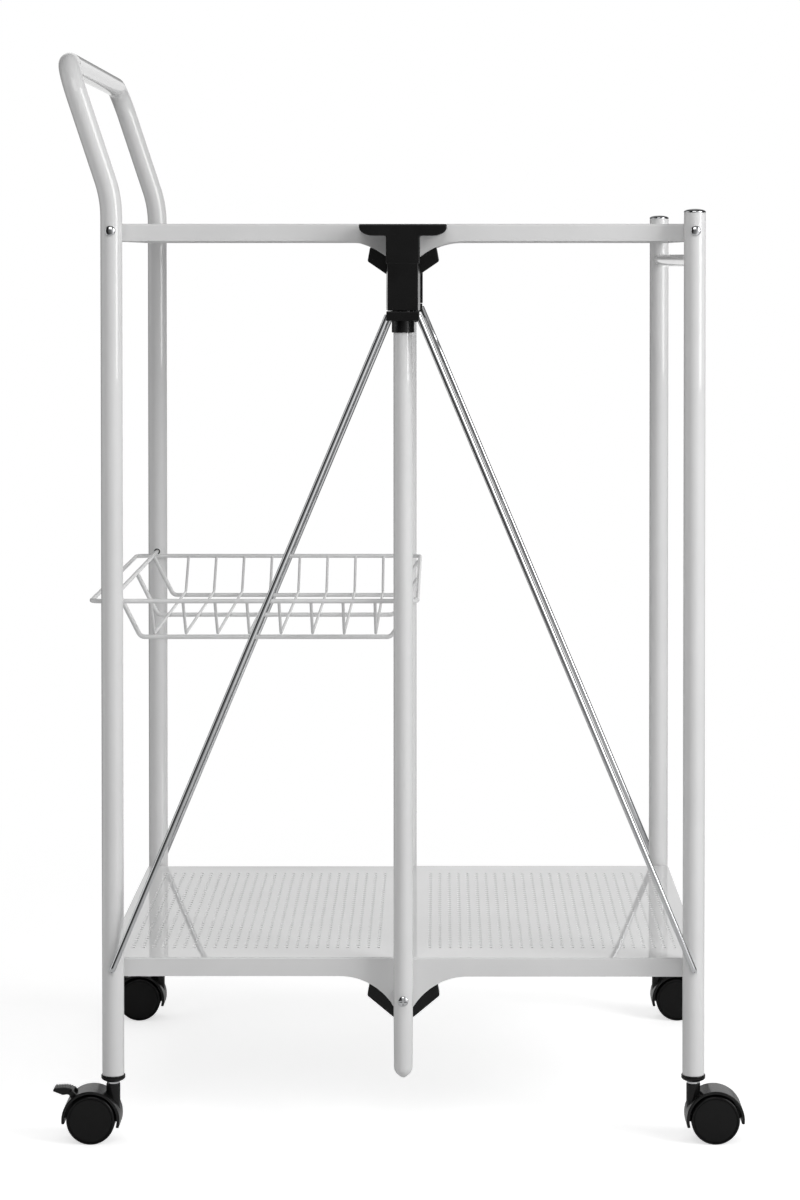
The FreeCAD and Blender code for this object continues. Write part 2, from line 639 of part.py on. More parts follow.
def build_posts():
    """Build the centre posts with their tips, and the screws and pins of the centre hinges."""
    tips = []
    for row_name, row in ROWS:
        name = f"post_{row_name}"
        y = f"{row} * Sizes.half_depth"
        length = "Sizes.head_cap_bottom - Sizes.post_tube_bottom"
        tube = round_tube(name, "post", length, "0", y, "Sizes.post_tube_bottom")
        start = f"{row} * (Sizes.half_depth - Sizes.post_diameter)"
        tools = [inner_wall_hole(f"{name}_basket_hole", "0", row, "Sizes.basket_post_pivot")]
        for level in ("top", "bottom"):
            tools.append(cylinder(f"{name}_{level}_hole", "Sizes.screw_diameter", "2 * Sizes.post_diameter",
                                  "0", start, f"Sizes.{level}_hinge", outward(row)))
        node(name, cut(f"{name}_drilled", tube, tools))
        radius = s.post_radius
        outline = [
            (0, -s.tip_length),
            (radius, -s.tip_length, min(0.98 * radius, 0.98 * s.tip_length)),
            (radius, 0),
            (s.post_bore / 2, 0),
            (s.post_bore / 2, s.plug_depth),
            (0, s.plug_depth),
        ]
        tips.append(place(turned_body(f"tip_{row_name}", polygon(outline)), "0", y, "Sizes.post_tube_bottom"))
    node("post_tips", group("tips", tips))


def build_hinge_fasteners():
    """Build the screws of the bottom hinges and the plain pins of the top hinges."""
    screws = []
    pins = []
    inner_end = "Sizes.bracket_outer - 0.8 * Sizes.bracket_depth"
    for row_name, row in ROWS:
        length = s.half_depth + s.post_radius - s.bracket_outer + 0.8 * s.bracket_depth
        shank = s.screw_diameter / 2
        head = s.screw_head_diameter / 2
        outline = [
            (0, -length),
            (shank, -length, 0.4),
            (shank, 0),
            (head, 0),
            (head, s.screw_head_height, 0.5 * s.screw_head_height),
            (0, s.screw_head_height),
        ]
        screw = turned_body(f"screw_{row_name}_turned", polygon(outline))
        long_arm, short_arm = 0.6 * head, 0.12 * head
        for arm, width, height in (("slot", long_arm, short_arm), ("cross_slot", short_arm, long_arm)):
            drive = sketch(screw, f"screw_{row_name}_{arm}", "XY_Plane",
                           rectangle(-width, width, -height, height), offset=s.screw_head_height)
            extrude(screw, "Pocket", drive, "Sizes.screw_head_height / 2")
        screws.append(place(screw, "0", f"{row} * (Sizes.half_depth + Sizes.post_radius)",
                            "Sizes.bottom_hinge", Rotation(UP, outward(row))))
        pins.append(cylinder(f"hinge_pin_{row_name}", "Sizes.screw_diameter",
                             f"Sizes.half_depth + Sizes.post_radius - Sizes.tube_wall - ({inner_end})",
                             "0", f"{row} * ({inner_end})", "Sizes.top_hinge", outward(row)))
    node("hinge_screws", group("screws", screws))
    node("hinge_pins", group("pins", pins))


def build_bracket(level, row_name, row):
    """Build one winged hinge bracket with the boss on which the ears turn."""
    name = f"hinge_bracket_{level}_{row_name}"
    surface = getattr(s, f"{level}_surface")
    hinge = surface - s.hinge_drop
    top = surface - s.bracket_top_drop
    corner = surface - s.bracket_corner_drop
    foot = surface - s.bracket_foot_drop
    wing = [
        (s.bracket_top_width / 2, top, 1.5),
        (s.bracket_corner_width / 2, corner, 2),
        (s.bracket_foot_width / 2, foot, 3),
    ]
    outline = wing + [(-x, z, radius) for x, z, radius in reversed(wing)]
    body = new_body(f"{name}_body")
    plate = sketch(body, f"{name}_plate", "XZ_Plane", polygon(outline), offset=s.bracket_outer)
    extrude(body, "Pad", plate, "Sizes.bracket_depth", reverse=True)
    boss = sketch(body, f"{name}_boss", "XZ_Plane", [circle(0, hinge, s.boss_diameter)],
                  offset=s.bracket_outer)
    extrude(body, "Pad", boss, "Sizes.half_depth - Sizes.post_radius - Sizes.bracket_outer")
    hole = sketch(body, f"{name}_hole", "XZ_Plane", [circle(0, hinge, s.screw_diameter)],
                  offset=s.bracket_outer - 0.8 * s.bracket_depth)
    extrude(body, "Pocket", hole, "2 * Sizes.bracket_depth", reverse=True)
    if row == BACK:
        body.Placement = Placement(Vector(0, 0, 0), HALF_TURN)
    node(name, body)


def outer_face_edges(feature, depth):
    """Return the edges round a piece's outer face at the front."""
    return [
        f"Edge{number}" for number, edge in enumerate(feature.Shape.Edges, start=1)
        if all(abs(vertex.Point.y + depth) < 1e-6 for vertex in edge.Vertexes)
    ]


def build_head(row_name, row):
    """Build the T-shaped hinge head that closes the top of a post."""
    name = f"head_{row_name}"
    cap = s.head_cap_width / 2
    bar = s.head_bar_width / 2
    under = 0.8 * s.head_cap_height
    half_outline = [
        (cap, s.head_cap_top, 1.5),
        (cap, s.head_cap_bottom, under),
        (bar, s.head_cap_bottom, 1),
        (bar, s.head_bar_bottom, 1),
    ]
    outline = half_outline + [(-x, z, radius) for x, z, radius in reversed(half_outline)]
    inner_face = s.half_depth - s.head_inner_depth
    outer_face = s.half_depth + s.head_outer_depth
    body = new_body(f"{name}_body")
    shape = sketch(body, f"{name}_shape", "XZ_Plane", polygon(outline), offset=inner_face)
    solid = extrude(body, "Pad", shape, "Sizes.head_inner_depth + Sizes.head_outer_depth")
    round_edges(body, solid, outer_face_edges(solid, outer_face), "Sizes.head_edge_radius")
    bore = sketch(body, f"{name}_bore", "XY_Plane", [circle(0, -s.half_depth, s.post_diameter)],
                  offset=s.head_bar_bottom)
    extrude(body, "Pocket", bore, "Sizes.head_cap_bottom - Sizes.head_bar_bottom", reverse=True)
    boss_hole = sketch(body, f"{name}_boss_hole", "XZ_Plane", [circle(0, s.top_hinge, s.boss_diameter)],
                       offset=inner_face - 1)
    extrude(body, "Pocket", boss_hole, "Sizes.head_inner_depth", reverse=True)
    if row == BACK:
        body.Placement = Placement(Vector(0, 0, 0), HALF_TURN)
    node(name, body)


def build_collar(row_name, row):
    """Build the collar that slides on a post and takes the rod ends in two slots."""
    name = f"collar_{row_name}"
    axis = -s.half_depth
    half_width = s.collar_cheek_width / 2
    slot_inner = s.rod_offset - s.pin_diameter / 2 - s.rod_slot_play
    slot_outer = s.rod_offset + s.pin_diameter / 2 + s.rod_slot_play
    face = slot_outer + s.collar_cheek_thickness
    inner_side = s.collar_neck_diameter / 2 + s.collar_ledge
    body = new_body(f"{name}_body")
    neck = sketch(body, f"{name}_neck", "XY_Plane", [circle(0, axis, s.collar_neck_diameter)],
                  offset=s.collar_bottom)
    extrude(body, "Pad", neck, "Sizes.collar_neck_height")
    block = polygon([
        (-half_width, axis + inner_side, 2),
        (half_width, axis + inner_side, 2),
        (half_width, axis - face, 1),
        (-half_width, axis - face, 1),
    ])
    cheek = sketch(body, f"{name}_cheek", "XY_Plane", block, offset=s.collar_step)
    extrude(body, "Pad", cheek, "Sizes.collar_cheek_height")
    web = s.collar_web_width / 2
    slot = sketch(body, f"{name}_slot", "XY_Plane",
                  rectangle(web, 2 * half_width, axis - slot_outer, axis - slot_inner), offset=s.collar_step)
    right_slot = extrude(body, "Pocket", slot, "Sizes.collar_cheek_height", reverse=True)
    mirror(body, right_slot, "YZ_Plane")
    bore_diameter = s.post_diameter + 2 * s.collar_play
    bore = sketch(body, f"{name}_bore", "XY_Plane", [circle(0, axis, bore_diameter)], offset=s.collar_bottom)
    extrude(body, "Pocket", bore, "Sizes.collar_neck_height + Sizes.collar_cheek_height", reverse=True)
    if row == BACK:
        body.Placement = Placement(Vector(0, 0, 0), HALF_TURN)
    node(name, body)


def build_rod(side_name, side, row_name, row):
    """Build one rod: a pin through the leg and skirt, bent up to the collar, with a retaining cap."""
    name = f"rod_{side_name}_{row_name}"
    skirt_inside = getattr(s, skirt_half(side)) - s.sheet_thickness
    cap_length = 0.6 * s.pin_diameter
    leg_x = side * s.half_spacing
    rod_plane = row * (s.half_depth + s.rod_offset)
    corners = [
        (Vector(leg_x, row * (skirt_inside - cap_length), s.bottom_pivot), 0),
        (Vector(leg_x, rod_plane, s.bottom_pivot), s.rod_bend_radius),
        (Vector(side * s.rod_top_reach, rod_plane, s.rod_top_height), 0),
    ]
    bar = bent_bar(f"{name}_bar", corners, "Sizes.pin_diameter")
    half = f"Sizes.{skirt_half(side)}"
    x = f"{side} * Sizes.half_spacing"
    y = f"{row} * ({half} - Sizes.sheet_thickness - Sizes.pin_play)"
    inward = outward(-row)
    ring = cylinder(f"{name}_cap_ring", "1.6 * Sizes.pin_diameter", "0.5 * Sizes.pin_diameter",
                    x, y, "Sizes.bottom_pivot", inward)
    hole = cylinder(f"{name}_cap_hole", "Sizes.pin_diameter", "0.5 * Sizes.pin_diameter",
                    x, y, "Sizes.bottom_pivot", inward)
    node(name, group(f"{name}_with_cap", [bar, cut(f"{name}_cap", ring, [hole])]))


# Basket

def build_basket():
    """Build the welded wire basket that hangs between the left legs and the centre posts."""
    rim_left = -s.half_spacing - s.rim_left
    rim_right = s.rim_right
    rim_half = s.rim_depth / 2
    rim = [
        (Vector(rim_left, -rim_half, s.rim_height), s.rim_corner_radius),
        (Vector(rim_right, -rim_half, s.rim_height), s.rim_corner_radius),
        (Vector(rim_right, rim_half, s.rim_height), s.rim_corner_radius),
        (Vector(rim_left, rim_half, s.rim_height), s.rim_corner_radius),
    ]
    node("basket_rim", bent_bar("rim_wire", rim, "Sizes.rim_diameter", closed=True))

    pivots = []
    for end, radius, x, height in (
        ("left", "tube_radius", "-Sizes.half_spacing", "basket_pivot"),
        ("right", "post_radius", "0", "basket_post_pivot"),
    ):
        reach = f"Sizes.half_depth - Sizes.{radius} + 2 * Sizes.tube_wall"
        pivots.append(cylinder(f"pivot_wire_{end}", "Sizes.rim_diameter", f"2 * ({reach})", x,
                               f"-({reach})", f"Sizes.{height}", outward(BACK)))
    node("basket_pivot_wires", group("pivot_wires", pivots))

    butt = s.rim_diameter / 2 - s.weld_depth

    def towards(start, end):
        return start + (end - start).normalize() * butt

    long_wires = []
    for number, y in enumerate((-s.floor_depth / 2, 0, s.floor_depth / 2), start=1):
        left_top = Vector(-s.half_spacing, y, s.basket_pivot)
        left_foot = Vector(-s.half_spacing + s.floor_left, y, s.floor_height)
        right_foot = Vector(-s.floor_right, y, s.floor_height)
        right_top = Vector(rim_right, y, s.rim_height)
        corners = [
            (towards(left_top, left_foot), 0),
            (left_foot, s.wire_bend_radius),
            (right_foot, s.wire_bend_radius),
            (towards(right_top, right_foot), 0),
        ]
        long_wires.append(bent_bar(f"long_wire_{number}", corners, "Sizes.rim_diameter"))
    node("basket_long_wires", group("long_wires", long_wires))

    cross_floor = s.floor_height + (s.rim_diameter + s.cross_diameter) / 2 - s.weld_depth
    cross_wires = []
    for number in range(int(s.cross_wire_count)):
        x = -s.half_spacing + s.cross_wire_first + number * s.cross_wire_pitch
        ends = []
        for row in (FRONT, BACK):
            top = Vector(x, row * rim_half, s.rim_height)
            foot = Vector(x, row * s.floor_depth / 2, cross_floor)
            ends.append([(towards(top, foot), 0), (foot, s.wire_bend_radius)])
        corners = ends[0] + ends[1][::-1]
        cross_wires.append(bent_bar(f"cross_wire_{number + 1}", corners, "Sizes.cross_diameter"))
    node("basket_cross_wires", group("cross_wires", cross_wires))


# Casters

def caster_place(item, side, row):
    """Put a caster piece, made with its stem on Z and its wheels at +X, under its leg."""
    turn = HALF_TURN if side == LEFT else Rotation()
    return place(item, f"{side} * Sizes.half_spacing", f"{row} * Sizes.half_depth", "0", turn)


def pedal_pivot():
    """Return the brake pedal's pivot in the caster's own X and Z."""
    angle = math.radians(s.pedal_pivot_angle)
    return (s.trail + s.pedal_pivot_radius * math.cos(angle),
            s.wheel_radius + s.pedal_pivot_radius * math.sin(angle))


def build_housing(name, has_brake):
    """Build the caster housing: neck, web and the hood over both wheels."""
    body = new_body(f"{name}_housing_body")
    hood = s.hood_radius
    far_reach = math.sqrt(hood ** 2 - s.hood_far_drop ** 2)
    near_reach = math.sqrt(hood ** 2 - s.hood_near_drop ** 2)
    far = Vector(s.trail + far_reach, s.wheel_radius - s.hood_far_drop, 0)
    near = Vector(s.trail - near_reach, s.wheel_radius - s.hood_near_drop, 0)
    top = Vector(s.trail, s.wheel_radius + hood, 0)
    outline = [Part.Arc(far, top, near), Part.LineSegment(near, far)]
    shell = sketch(body, f"{name}_hood", "XZ_Plane", outline)
    extrude(body, "Pad", shell, "2 * (Sizes.wheel_inset + Sizes.wheel_width)", symmetric=True)
    neck = sketch(body, f"{name}_neck", "XY_Plane", [circle(0, 0, s.neck_diameter)], offset=s.wheel_radius)
    extrude(body, "Pad", neck, "Sizes.neck_top - Sizes.wheel_radius")
    if has_brake:
        pivot_x, pivot_z = pedal_pivot()
        angle = math.radians(s.pedal_pivot_angle)
        along = Vector(math.cos(angle), math.sin(angle), 0)
        across = Vector(-along.y, along.x, 0) * s.pedal_pin_diameter
        pivot = Vector(pivot_x, pivot_z, 0)
        root = pivot - along * (s.pedal_pivot_radius - hood + s.hood_thickness / 2)
        ear_outer = s.pedal_width / 2 + s.pedal_side_gap + s.pedal_ear_thickness
        tip = pivot + along * s.pedal_pin_diameter
        ear_curves = [
            Part.LineSegment(root - across, pivot - across),
            Part.Arc(pivot - across, tip, pivot + across),
            Part.LineSegment(pivot + across, root + across),
            Part.LineSegment(root + across, root - across),
        ]
        ear = sketch(body, f"{name}_ear", "XZ_Plane", ear_curves, offset=ear_outer)
        mirror(body, extrude(body, "Pad", ear, "Sizes.pedal_ear_thickness", reverse=True), "XZ_Plane")
        ear_hole = sketch(body, f"{name}_ear_hole", "XZ_Plane",
                          [circle(pivot_x, pivot_z, s.pedal_pin_diameter + 2 * s.pin_play)])
        extrude(body, "Pocket", ear_hole, "2 * Sizes.pedal_width", symmetric=True)
    room = 2 * (hood - s.hood_thickness)
    wheel_room = sketch(body, f"{name}_wheel_room", "XZ_Plane", [circle(s.trail, s.wheel_radius, room)],
                        offset=s.web_thickness / 2)
    front_room = extrude(body, "Pocket", wheel_room, "2 * Sizes.wheel_width", reverse=True)
    mirror(body, front_room, "XZ_Plane")
    axle_hole = sketch(body, f"{name}_axle_hole", "XZ_Plane",
                       [circle(s.trail, s.wheel_radius, s.axle_diameter)])
    extrude(body, "Pocket", axle_hole, "2 * Sizes.web_thickness", symmetric=True)
    stem_hole = sketch(body, f"{name}_stem_hole", "XY_Plane", [circle(0, 0, s.stem_diameter)],
                       offset=s.neck_top)
    extrude(body, "Pocket", stem_hole, "Sizes.neck_diameter")
    return body


def build_wheel(name, face):
    """Build one wheel, open for the axle on its inner side and dished on its outer side."""
    radius = s.wheel_radius
    bore = s.axle_diameter / 2 + s.pin_play
    outer = s.wheel_inset + s.wheel_width
    dish = 0.1 * s.wheel_width
    hub = 0.62 * radius
    outline = [
        (bore, s.wheel_inset),
        (radius, s.wheel_inset, 1),
        (radius, outer, 1.5),
        (hub + dish, outer),
        (hub, outer - dish),
        (0, outer - dish),
        (0, outer - 2 * dish),
        (bore, outer - 2 * dish),
    ]
    wheel = turned_body(f"{name}_turned", polygon(outline))
    return wheel, Rotation(UP, Vector(0, face, 0))


def build_pedal(name):
    """Build the brake pedal, with trunnions in the ears of the hood."""
    pivot_x, pivot_z = pedal_pivot()
    profile = [
        (15.6, 4.1, 0.6), (15.6, 5.6, 0.6), (2.9, 5.8, 3), (-1.6, 2.6, 1.5),
        (-1.6, -0.7, 0.3), (1.6, -1.6, 0.5), (3.9, 1, 1.5), (7.4, 0.6, 1),
    ]
    body = new_body(f"{name}_body")
    lever = sketch(body, f"{name}_lever", "XZ_Plane",
                   polygon([(pivot_x + x, pivot_z + z, radius) for x, z, radius in profile]))
    extrude(body, "Pad", lever, "Sizes.pedal_width", symmetric=True)
    trunnion = sketch(body, f"{name}_trunnion", "XZ_Plane", [circle(pivot_x, pivot_z, s.pedal_pin_diameter)])
    ear_room = "2 * Sizes.pedal_side_gap + 1.8 * Sizes.pedal_ear_thickness"
    extrude(body, "Pad", trunnion, f"Sizes.pedal_width + {ear_room}", symmetric=True)
    return body


def build_caster(side_name, side, row_name, row):
    """Build one twin-wheel caster that trails away from the middle of the trolley."""
    name = f"caster_{side_name}_{row_name}"
    has_brake = side == LEFT
    x = f"{side} * Sizes.half_spacing"
    y = f"{row} * Sizes.half_depth"
    axle_x = f"{side} * (Sizes.half_spacing + Sizes.trail)"
    node(f"{name}_stem", cylinder(
        f"{name}_stem_bar", "Sizes.stem_diameter",
        "Sizes.leg_bottom + Sizes.plug_depth - Sizes.neck_top + Sizes.neck_diameter",
        x, y, "Sizes.neck_top - Sizes.neck_diameter"))
    node(f"{name}_housing", caster_place(build_housing(name, has_brake), side, row))
    axle_half = "Sizes.wheel_inset + 0.7 * Sizes.wheel_width"
    node(f"{name}_axle", cylinder(
        f"{name}_axle_bar", "Sizes.axle_diameter", f"2 * ({axle_half})",
        axle_x, f"{y} - ({axle_half})", "Sizes.wheel_radius", outward(BACK)))
    for wheel_name, face in ROWS:
        wheel, turn = build_wheel(f"{name}_wheel_{wheel_name}", face)
        node(f"{name}_wheel_{wheel_name}", place(wheel, axle_x, y, "Sizes.wheel_radius", turn))
    if has_brake:
        node(f"brake_pedal_{row_name}", caster_place(build_pedal(f"brake_{row_name}"), side, row))


def build_all():
    """Build every piece of the trolley."""
    build_handle_frame()
    build_right_legs()
    build_leg_caps()
    for side_name, side in SIDES:
        build_foot_plugs(side_name, side)
        build_top_rivets(side_name, side)
        build_spacers(side_name, side)
        for level in ("top", "bottom"):
            build_panel(level, side_name, side)
        for row_name, row in ROWS:
            build_rod(side_name, side, row_name, row)
            build_caster(side_name, side, row_name, row)
    build_posts()
    build_hinge_fasteners()
    for row_name, row in ROWS:
        for level in ("top", "bottom"):
            build_bracket(level, row_name, row)
        build_head(row_name, row)
        build_collar(row_name, row)
    build_basket()


def check_all():
    """Stop if any object of the document failed or any piece has no sound solid."""
    for item in doc.Objects:
        faults = {"Invalid", "Error"} & set(item.State)
        if faults:
            raise RuntimeError(f"{item.Label}: {faults}")
    for item in nodes:
        if item.Shape.isNull() or not item.Shape.isValid() or not item.Shape.Solids:
            raise RuntimeError(f"{item.Label}: no sound solid")


build_all()
doc.recompute()
check_all()
os.makedirs("parts", exist_ok=True)
for piece in nodes:
    piece.Shape.exportStep(f"parts/{piece.Label}.step")
    print(f"{piece.Label}: {len(piece.Shape.Solids)} solids, {piece.Shape.Volume:.0f} mm3")
print(f"{len(nodes)} pieces")
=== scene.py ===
"""Folding kitchen trolley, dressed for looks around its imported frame.

All sizes are in millimetres and are turned to metres where a mesh is made.
The frame is the CAD one: X along the length with the push handle at -X, the front at -Y, Z up.
"""

import logging
import math
from dataclasses import dataclass
from enum import Enum
from typing import Callable, Iterable, Sequence

import bpy
from mathutils import Matrix, Vector


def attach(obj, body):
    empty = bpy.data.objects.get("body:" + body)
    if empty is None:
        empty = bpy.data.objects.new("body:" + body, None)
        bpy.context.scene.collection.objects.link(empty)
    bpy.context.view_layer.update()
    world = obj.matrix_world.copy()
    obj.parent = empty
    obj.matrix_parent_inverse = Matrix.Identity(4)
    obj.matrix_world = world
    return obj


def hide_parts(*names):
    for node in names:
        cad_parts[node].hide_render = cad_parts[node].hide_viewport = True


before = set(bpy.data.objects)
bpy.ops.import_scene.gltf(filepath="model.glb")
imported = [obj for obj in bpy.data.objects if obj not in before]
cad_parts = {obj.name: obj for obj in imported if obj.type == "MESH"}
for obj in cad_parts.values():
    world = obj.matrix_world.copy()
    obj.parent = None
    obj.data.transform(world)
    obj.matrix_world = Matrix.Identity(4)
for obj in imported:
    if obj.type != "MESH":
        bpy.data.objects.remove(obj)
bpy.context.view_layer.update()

log = logging.getLogger("trolley")

# Short names of types
Piece = bpy.types.Object
Tree = bpy.types.NodeTree
Node = bpy.types.Node
Socket = bpy.types.NodeSocket
Point = tuple[float, float]
Triple = tuple[float, float, float]

# Metres in a millimetre, millimetres that count as the same place, and faces round a tube
MM = 0.001
NEAR = 0.01
TUBE_SIDES = 48
X_AXIS = Vector((1, 0, 0))
Y_AXIS = Vector((0, 1, 0))
Z_AXIS = Vector((0, 0, 1))

# Sizes shared by several sub-assemblies
LEG_X = 239.5
LEG_Y = 205.0
TUBE_RADIUS = 9.0
POST_RADIUS = 8.0
PIVOT_DROP = 6.0
HINGE_DROP = 33.6
PIN_RADIUS = 2.5
WIRE_HOLE = 2.9
SHEET = 1.0
BASKET_PIVOT = 448.7
BASKET_POST_PIVOT = 421.1


class Half(Enum):
    """One of two opposite halves of the trolley, by the sign of an axis."""

    @property
    def word(self) -> str:
        """Return the half's name as the frame writes it."""
        return self.name.lower()


class Side(Half):
    """The two ends of the trolley, by the sign of X."""

    LEFT = -1
    RIGHT = 1


class Row(Half):
    """The two long faces of the trolley, by the sign of Y."""

    FRONT = -1
    BACK = 1

    @property
    def outward(self) -> Vector:
        """Return the direction that leaves the trolley on this row."""
        return Y_AXIS * self.value


@dataclass(frozen=True)
class Level:
    """One shelf: its height, and the measures in which the two shelves differ.

    The bracket's wing is half its outline, as (X, drop below the shelf, corner radius).
    """

    word: str
    surface: float
    skirt: float
    eye_radius: float
    flare_radius: float
    wing: tuple[Triple, ...]

    @property
    def pivot(self) -> float:
        """Return the height of the leg pivots."""
        return self.surface - PIVOT_DROP

    @property
    def hinge(self) -> float:
        """Return the height of the centre hinge."""
        return self.surface - HINGE_DROP


TOP = Level("top", 757.0, 14.2, 5.6, 59.0, ((27.5, 19.3, 1.5), (29.6, 31.0, 2.0), (8.3, 45.6, 3.0)))
BOTTOM = Level("bottom", 148.5, 15.5, 10.6, 53.0, ((28.2, 22.3, 1.5), (30.1, 32.2, 2.0), (8.3, 50.2, 3.0)))

# The outside of the panels' skirts from the middle; the right panels take the left ones in.
SKIRT_HALF = {Side.LEFT: 191.5, Side.RIGHT: 193.5}


class Slot(Enum):
    """Material slots of the record."""

    WHITE = "white_powder_coat"
    WIRE = "white_coated_wire"
    CHROME = "chrome_steel"
    BLACK = "black_plastic"
    WHEEL = "black_wheel_plastic"


# Colours and materials

def linear(hex_colour: str) -> tuple[float, float, float, float]:
    """Turn an sRGB hex colour to linear RGBA.

    Args:
        hex_colour: six hex digits after a hash sign.

    Returns:
        The linear colour with full alpha.
    """
    channels = [int(hex_colour[i:i + 2], 16) / 255 for i in (1, 3, 5)]
    lit = [c / 12.92 if c <= 0.04045 else ((c + 0.055) / 1.055) ** 2.4 for c in channels]
    return (*lit, 1.0)


def add_node(tree: Tree, kind: str, settings: dict | None = None, *wires: Socket | Node,
             **links: Socket | Node) -> Node:
    """Add one shader node.

    Args:
        tree: the material's node tree.
        kind: the node's type name after ShaderNode.
        settings: node properties by name, and input values by socket name.
        wires: sockets, or nodes for their first output, to connect to the first inputs in order.
        links: the same, to connect by input socket name.

    Returns:
        The new node.
    """
    node = tree.nodes.new(f"ShaderNode{kind}")
    for name, value in (settings or {}).items():
        if name in node.bl_rna.properties:
            setattr(node, name, value)
        else:
            node.inputs[name].default_value = value
    for entry, source in [*enumerate(wires), *links.items()]:
        tree.links.new(source.outputs[0] if isinstance(source, Node) else source, node.inputs[entry])
    return node


@dataclass(frozen=True)
class Finish:
    """A surface with grain in its relief and a slight drift in its gloss.

    The colour drifts between two close tones over patches of a given size, the gloss drifts with
    the same patches, and a fine grain raises the surface.
    """

    name: str
    colour: str
    second_colour: str
    roughness_low: float
    roughness_high: float
    patch_mm: float
    grain_mm: float
    grain_height_mm: float
    metallic: float = 0.0
    ior: float = 1.5
    grain_detail: float = 2.0

    def make(self) -> bpy.types.Material:
        """Make the finish as a new material.

        Returns:
            The material.
        """
        material = bpy.data.materials.new(self.name)
        material.use_nodes = True
        tree = material.node_tree
        shader = next(node for node in tree.nodes if node.type == "BSDF_PRINCIPLED")
        shader.inputs["Metallic"].default_value = self.metallic
        shader.inputs["IOR"].default_value = self.ior
        place = add_node(tree, "TexCoord")
        patches = add_node(tree, "TexNoise", {"Scale": 1 / (self.patch_mm * MM), "Detail": 3.0},
                           Vector=place.outputs["Object"])
        tones = add_node(tree, "ValToRGB", Fac=patches)
        tones.color_ramp.elements[0].position = 0.35
        tones.color_ramp.elements[0].color = linear(self.colour)
        tones.color_ramp.elements[1].position = 0.65
        tones.color_ramp.elements[1].color = linear(self.second_colour)
        gloss = add_node(tree, "MapRange",
                         {"From Min": 0.3, "From Max": 0.7, "To Min": self.roughness_low,
                          "To Max": self.roughness_high}, Value=patches)
        grain = add_node(tree, "TexNoise",
                         {"Scale": 1 / (self.grain_mm * MM), "Detail": self.grain_detail},
                         Vector=place.outputs["Object"])
        relief = add_node(tree, "Bump", {"Strength": 0.5, "Distance": self.grain_height_mm * MM},
                          Height=grain)
        for node, entry in ((tones, "Base Color"), (gloss, "Roughness"), (relief, "Normal")):
            tree.links.new(node.outputs[0], shader.inputs[entry])
        return material


# Gloss polyester powder coat on steel: cool white, with the faint orange peel of baked powder.
POWDER_COAT = Finish("Gloss white powder coat on steel", "#F0F0F0", "#F3F3F3", 0.025, 0.05, 60, 1.8, 0.002,
                     ior=1.55)
# The same powder on basket wire: a thicker, softer build-up that hides the wire's drawing marks.
WIRE_COAT = Finish("White powder coat on drawn wire", "#EEEEEE", "#F2F2F2", 0.14, 0.22, 40, 1.2, 0.012)
# Decorative chrome plate on drawn steel: mirror bright, with a hint of the drawn bar under it.
CHROME_PLATE = Finish("Chrome plate on drawn steel", "#DCDDDF", "#E6E7E8", 0.03, 0.06, 25, 0.9, 0.004,
                      metallic=1.0)
# Injection-moulded polypropylene: black, with the spark-eroded grain of its mould.
MOULDED_BLACK = Finish("Moulded black polypropylene, eroded grain", "#121212", "#171717", 0.2, 0.28, 30, 0.8,
                       0.03, ior=1.38, grain_detail=4.0)
# Moulded nylon of the wheels: a little smoother and shinier than the hinge heads.
MOULDED_NYLON = Finish("Moulded black nylon", "#0A0A0A", "#0F0F0F", 0.18, 0.26, 20, 0.7, 0.025,
                       ior=1.34, grain_detail=4.0)


@dataclass
class Paint:
    """The materials in use, one for each slot of the record."""

    by_slot: dict[Slot, bpy.types.Material]

    @classmethod
    def mix(cls) -> "Paint":
        """Make one material for each slot.

        Returns:
            The set of materials.
        """
        finishes = {
            Slot.WHITE: POWDER_COAT,
            Slot.WIRE: WIRE_COAT,
            Slot.CHROME: CHROME_PLATE,
            Slot.BLACK: MOULDED_BLACK,
            Slot.WHEEL: MOULDED_NYLON,
        }
        return cls({slot: finish.make() for slot, finish in finishes.items()})

    def dress(self, piece: Piece, slot: Slot, body: str, *nodes: str) -> None:
        """Give a finished piece its material, its body and the CAD nodes it stands for.

        Args:
            piece: the finished mesh object.
            slot: the record slot of its finish.
            body: the CAD body that carries it.
            nodes: CAD nodes that it replaces.
        """
        piece.data.materials.clear()
        piece.data.materials.append(self.by_slot[slot])
        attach(piece, body)
        if nodes:
            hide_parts(*nodes)
        log.info("%s rides on %s, %d faces", piece.name, body, len(piece.data.polygons))

    def dress_group(self, name: str, pieces: Sequence[Piece], slot: Slot, body: str, *nodes: str,
                    angle: float = 35) -> None:
        """Fuse pieces by a name and an angle and dress them as one."""
        self.dress(fuse(name, pieces, angle), slot, body, *nodes)

    def repaint(self, node: str, slot: Slot) -> None:
        """Give a CAD node that stays in view its material.

        Args:
            node: the CAD node.
            slot: the record slot of its finish.
        """
        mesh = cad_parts[node].data
        mesh.materials.clear()
        mesh.materials.append(self.by_slot[slot])


# Modelling by operators

def release() -> None:
    """Leave edit mode and deselect everything."""
    if bpy.context.object and bpy.context.object.mode != "OBJECT":
        bpy.ops.object.mode_set(mode="OBJECT")
    bpy.ops.object.select_all(action="DESELECT")


def pick(piece: Piece) -> None:
    """Make one object the only selected and the active one.

    Args:
        piece: the object.
    """
    release()
    piece.select_set(True)
    bpy.context.view_layer.objects.active = piece


def settle(name: str) -> Piece:
    """Put the active object's place into its mesh and name it.

    Args:
        name: the piece's name.

    Returns:
        The object.
    """
    bpy.ops.object.transform_apply(location=True, rotation=True, scale=True)
    bpy.context.object.name = name
    return bpy.context.object


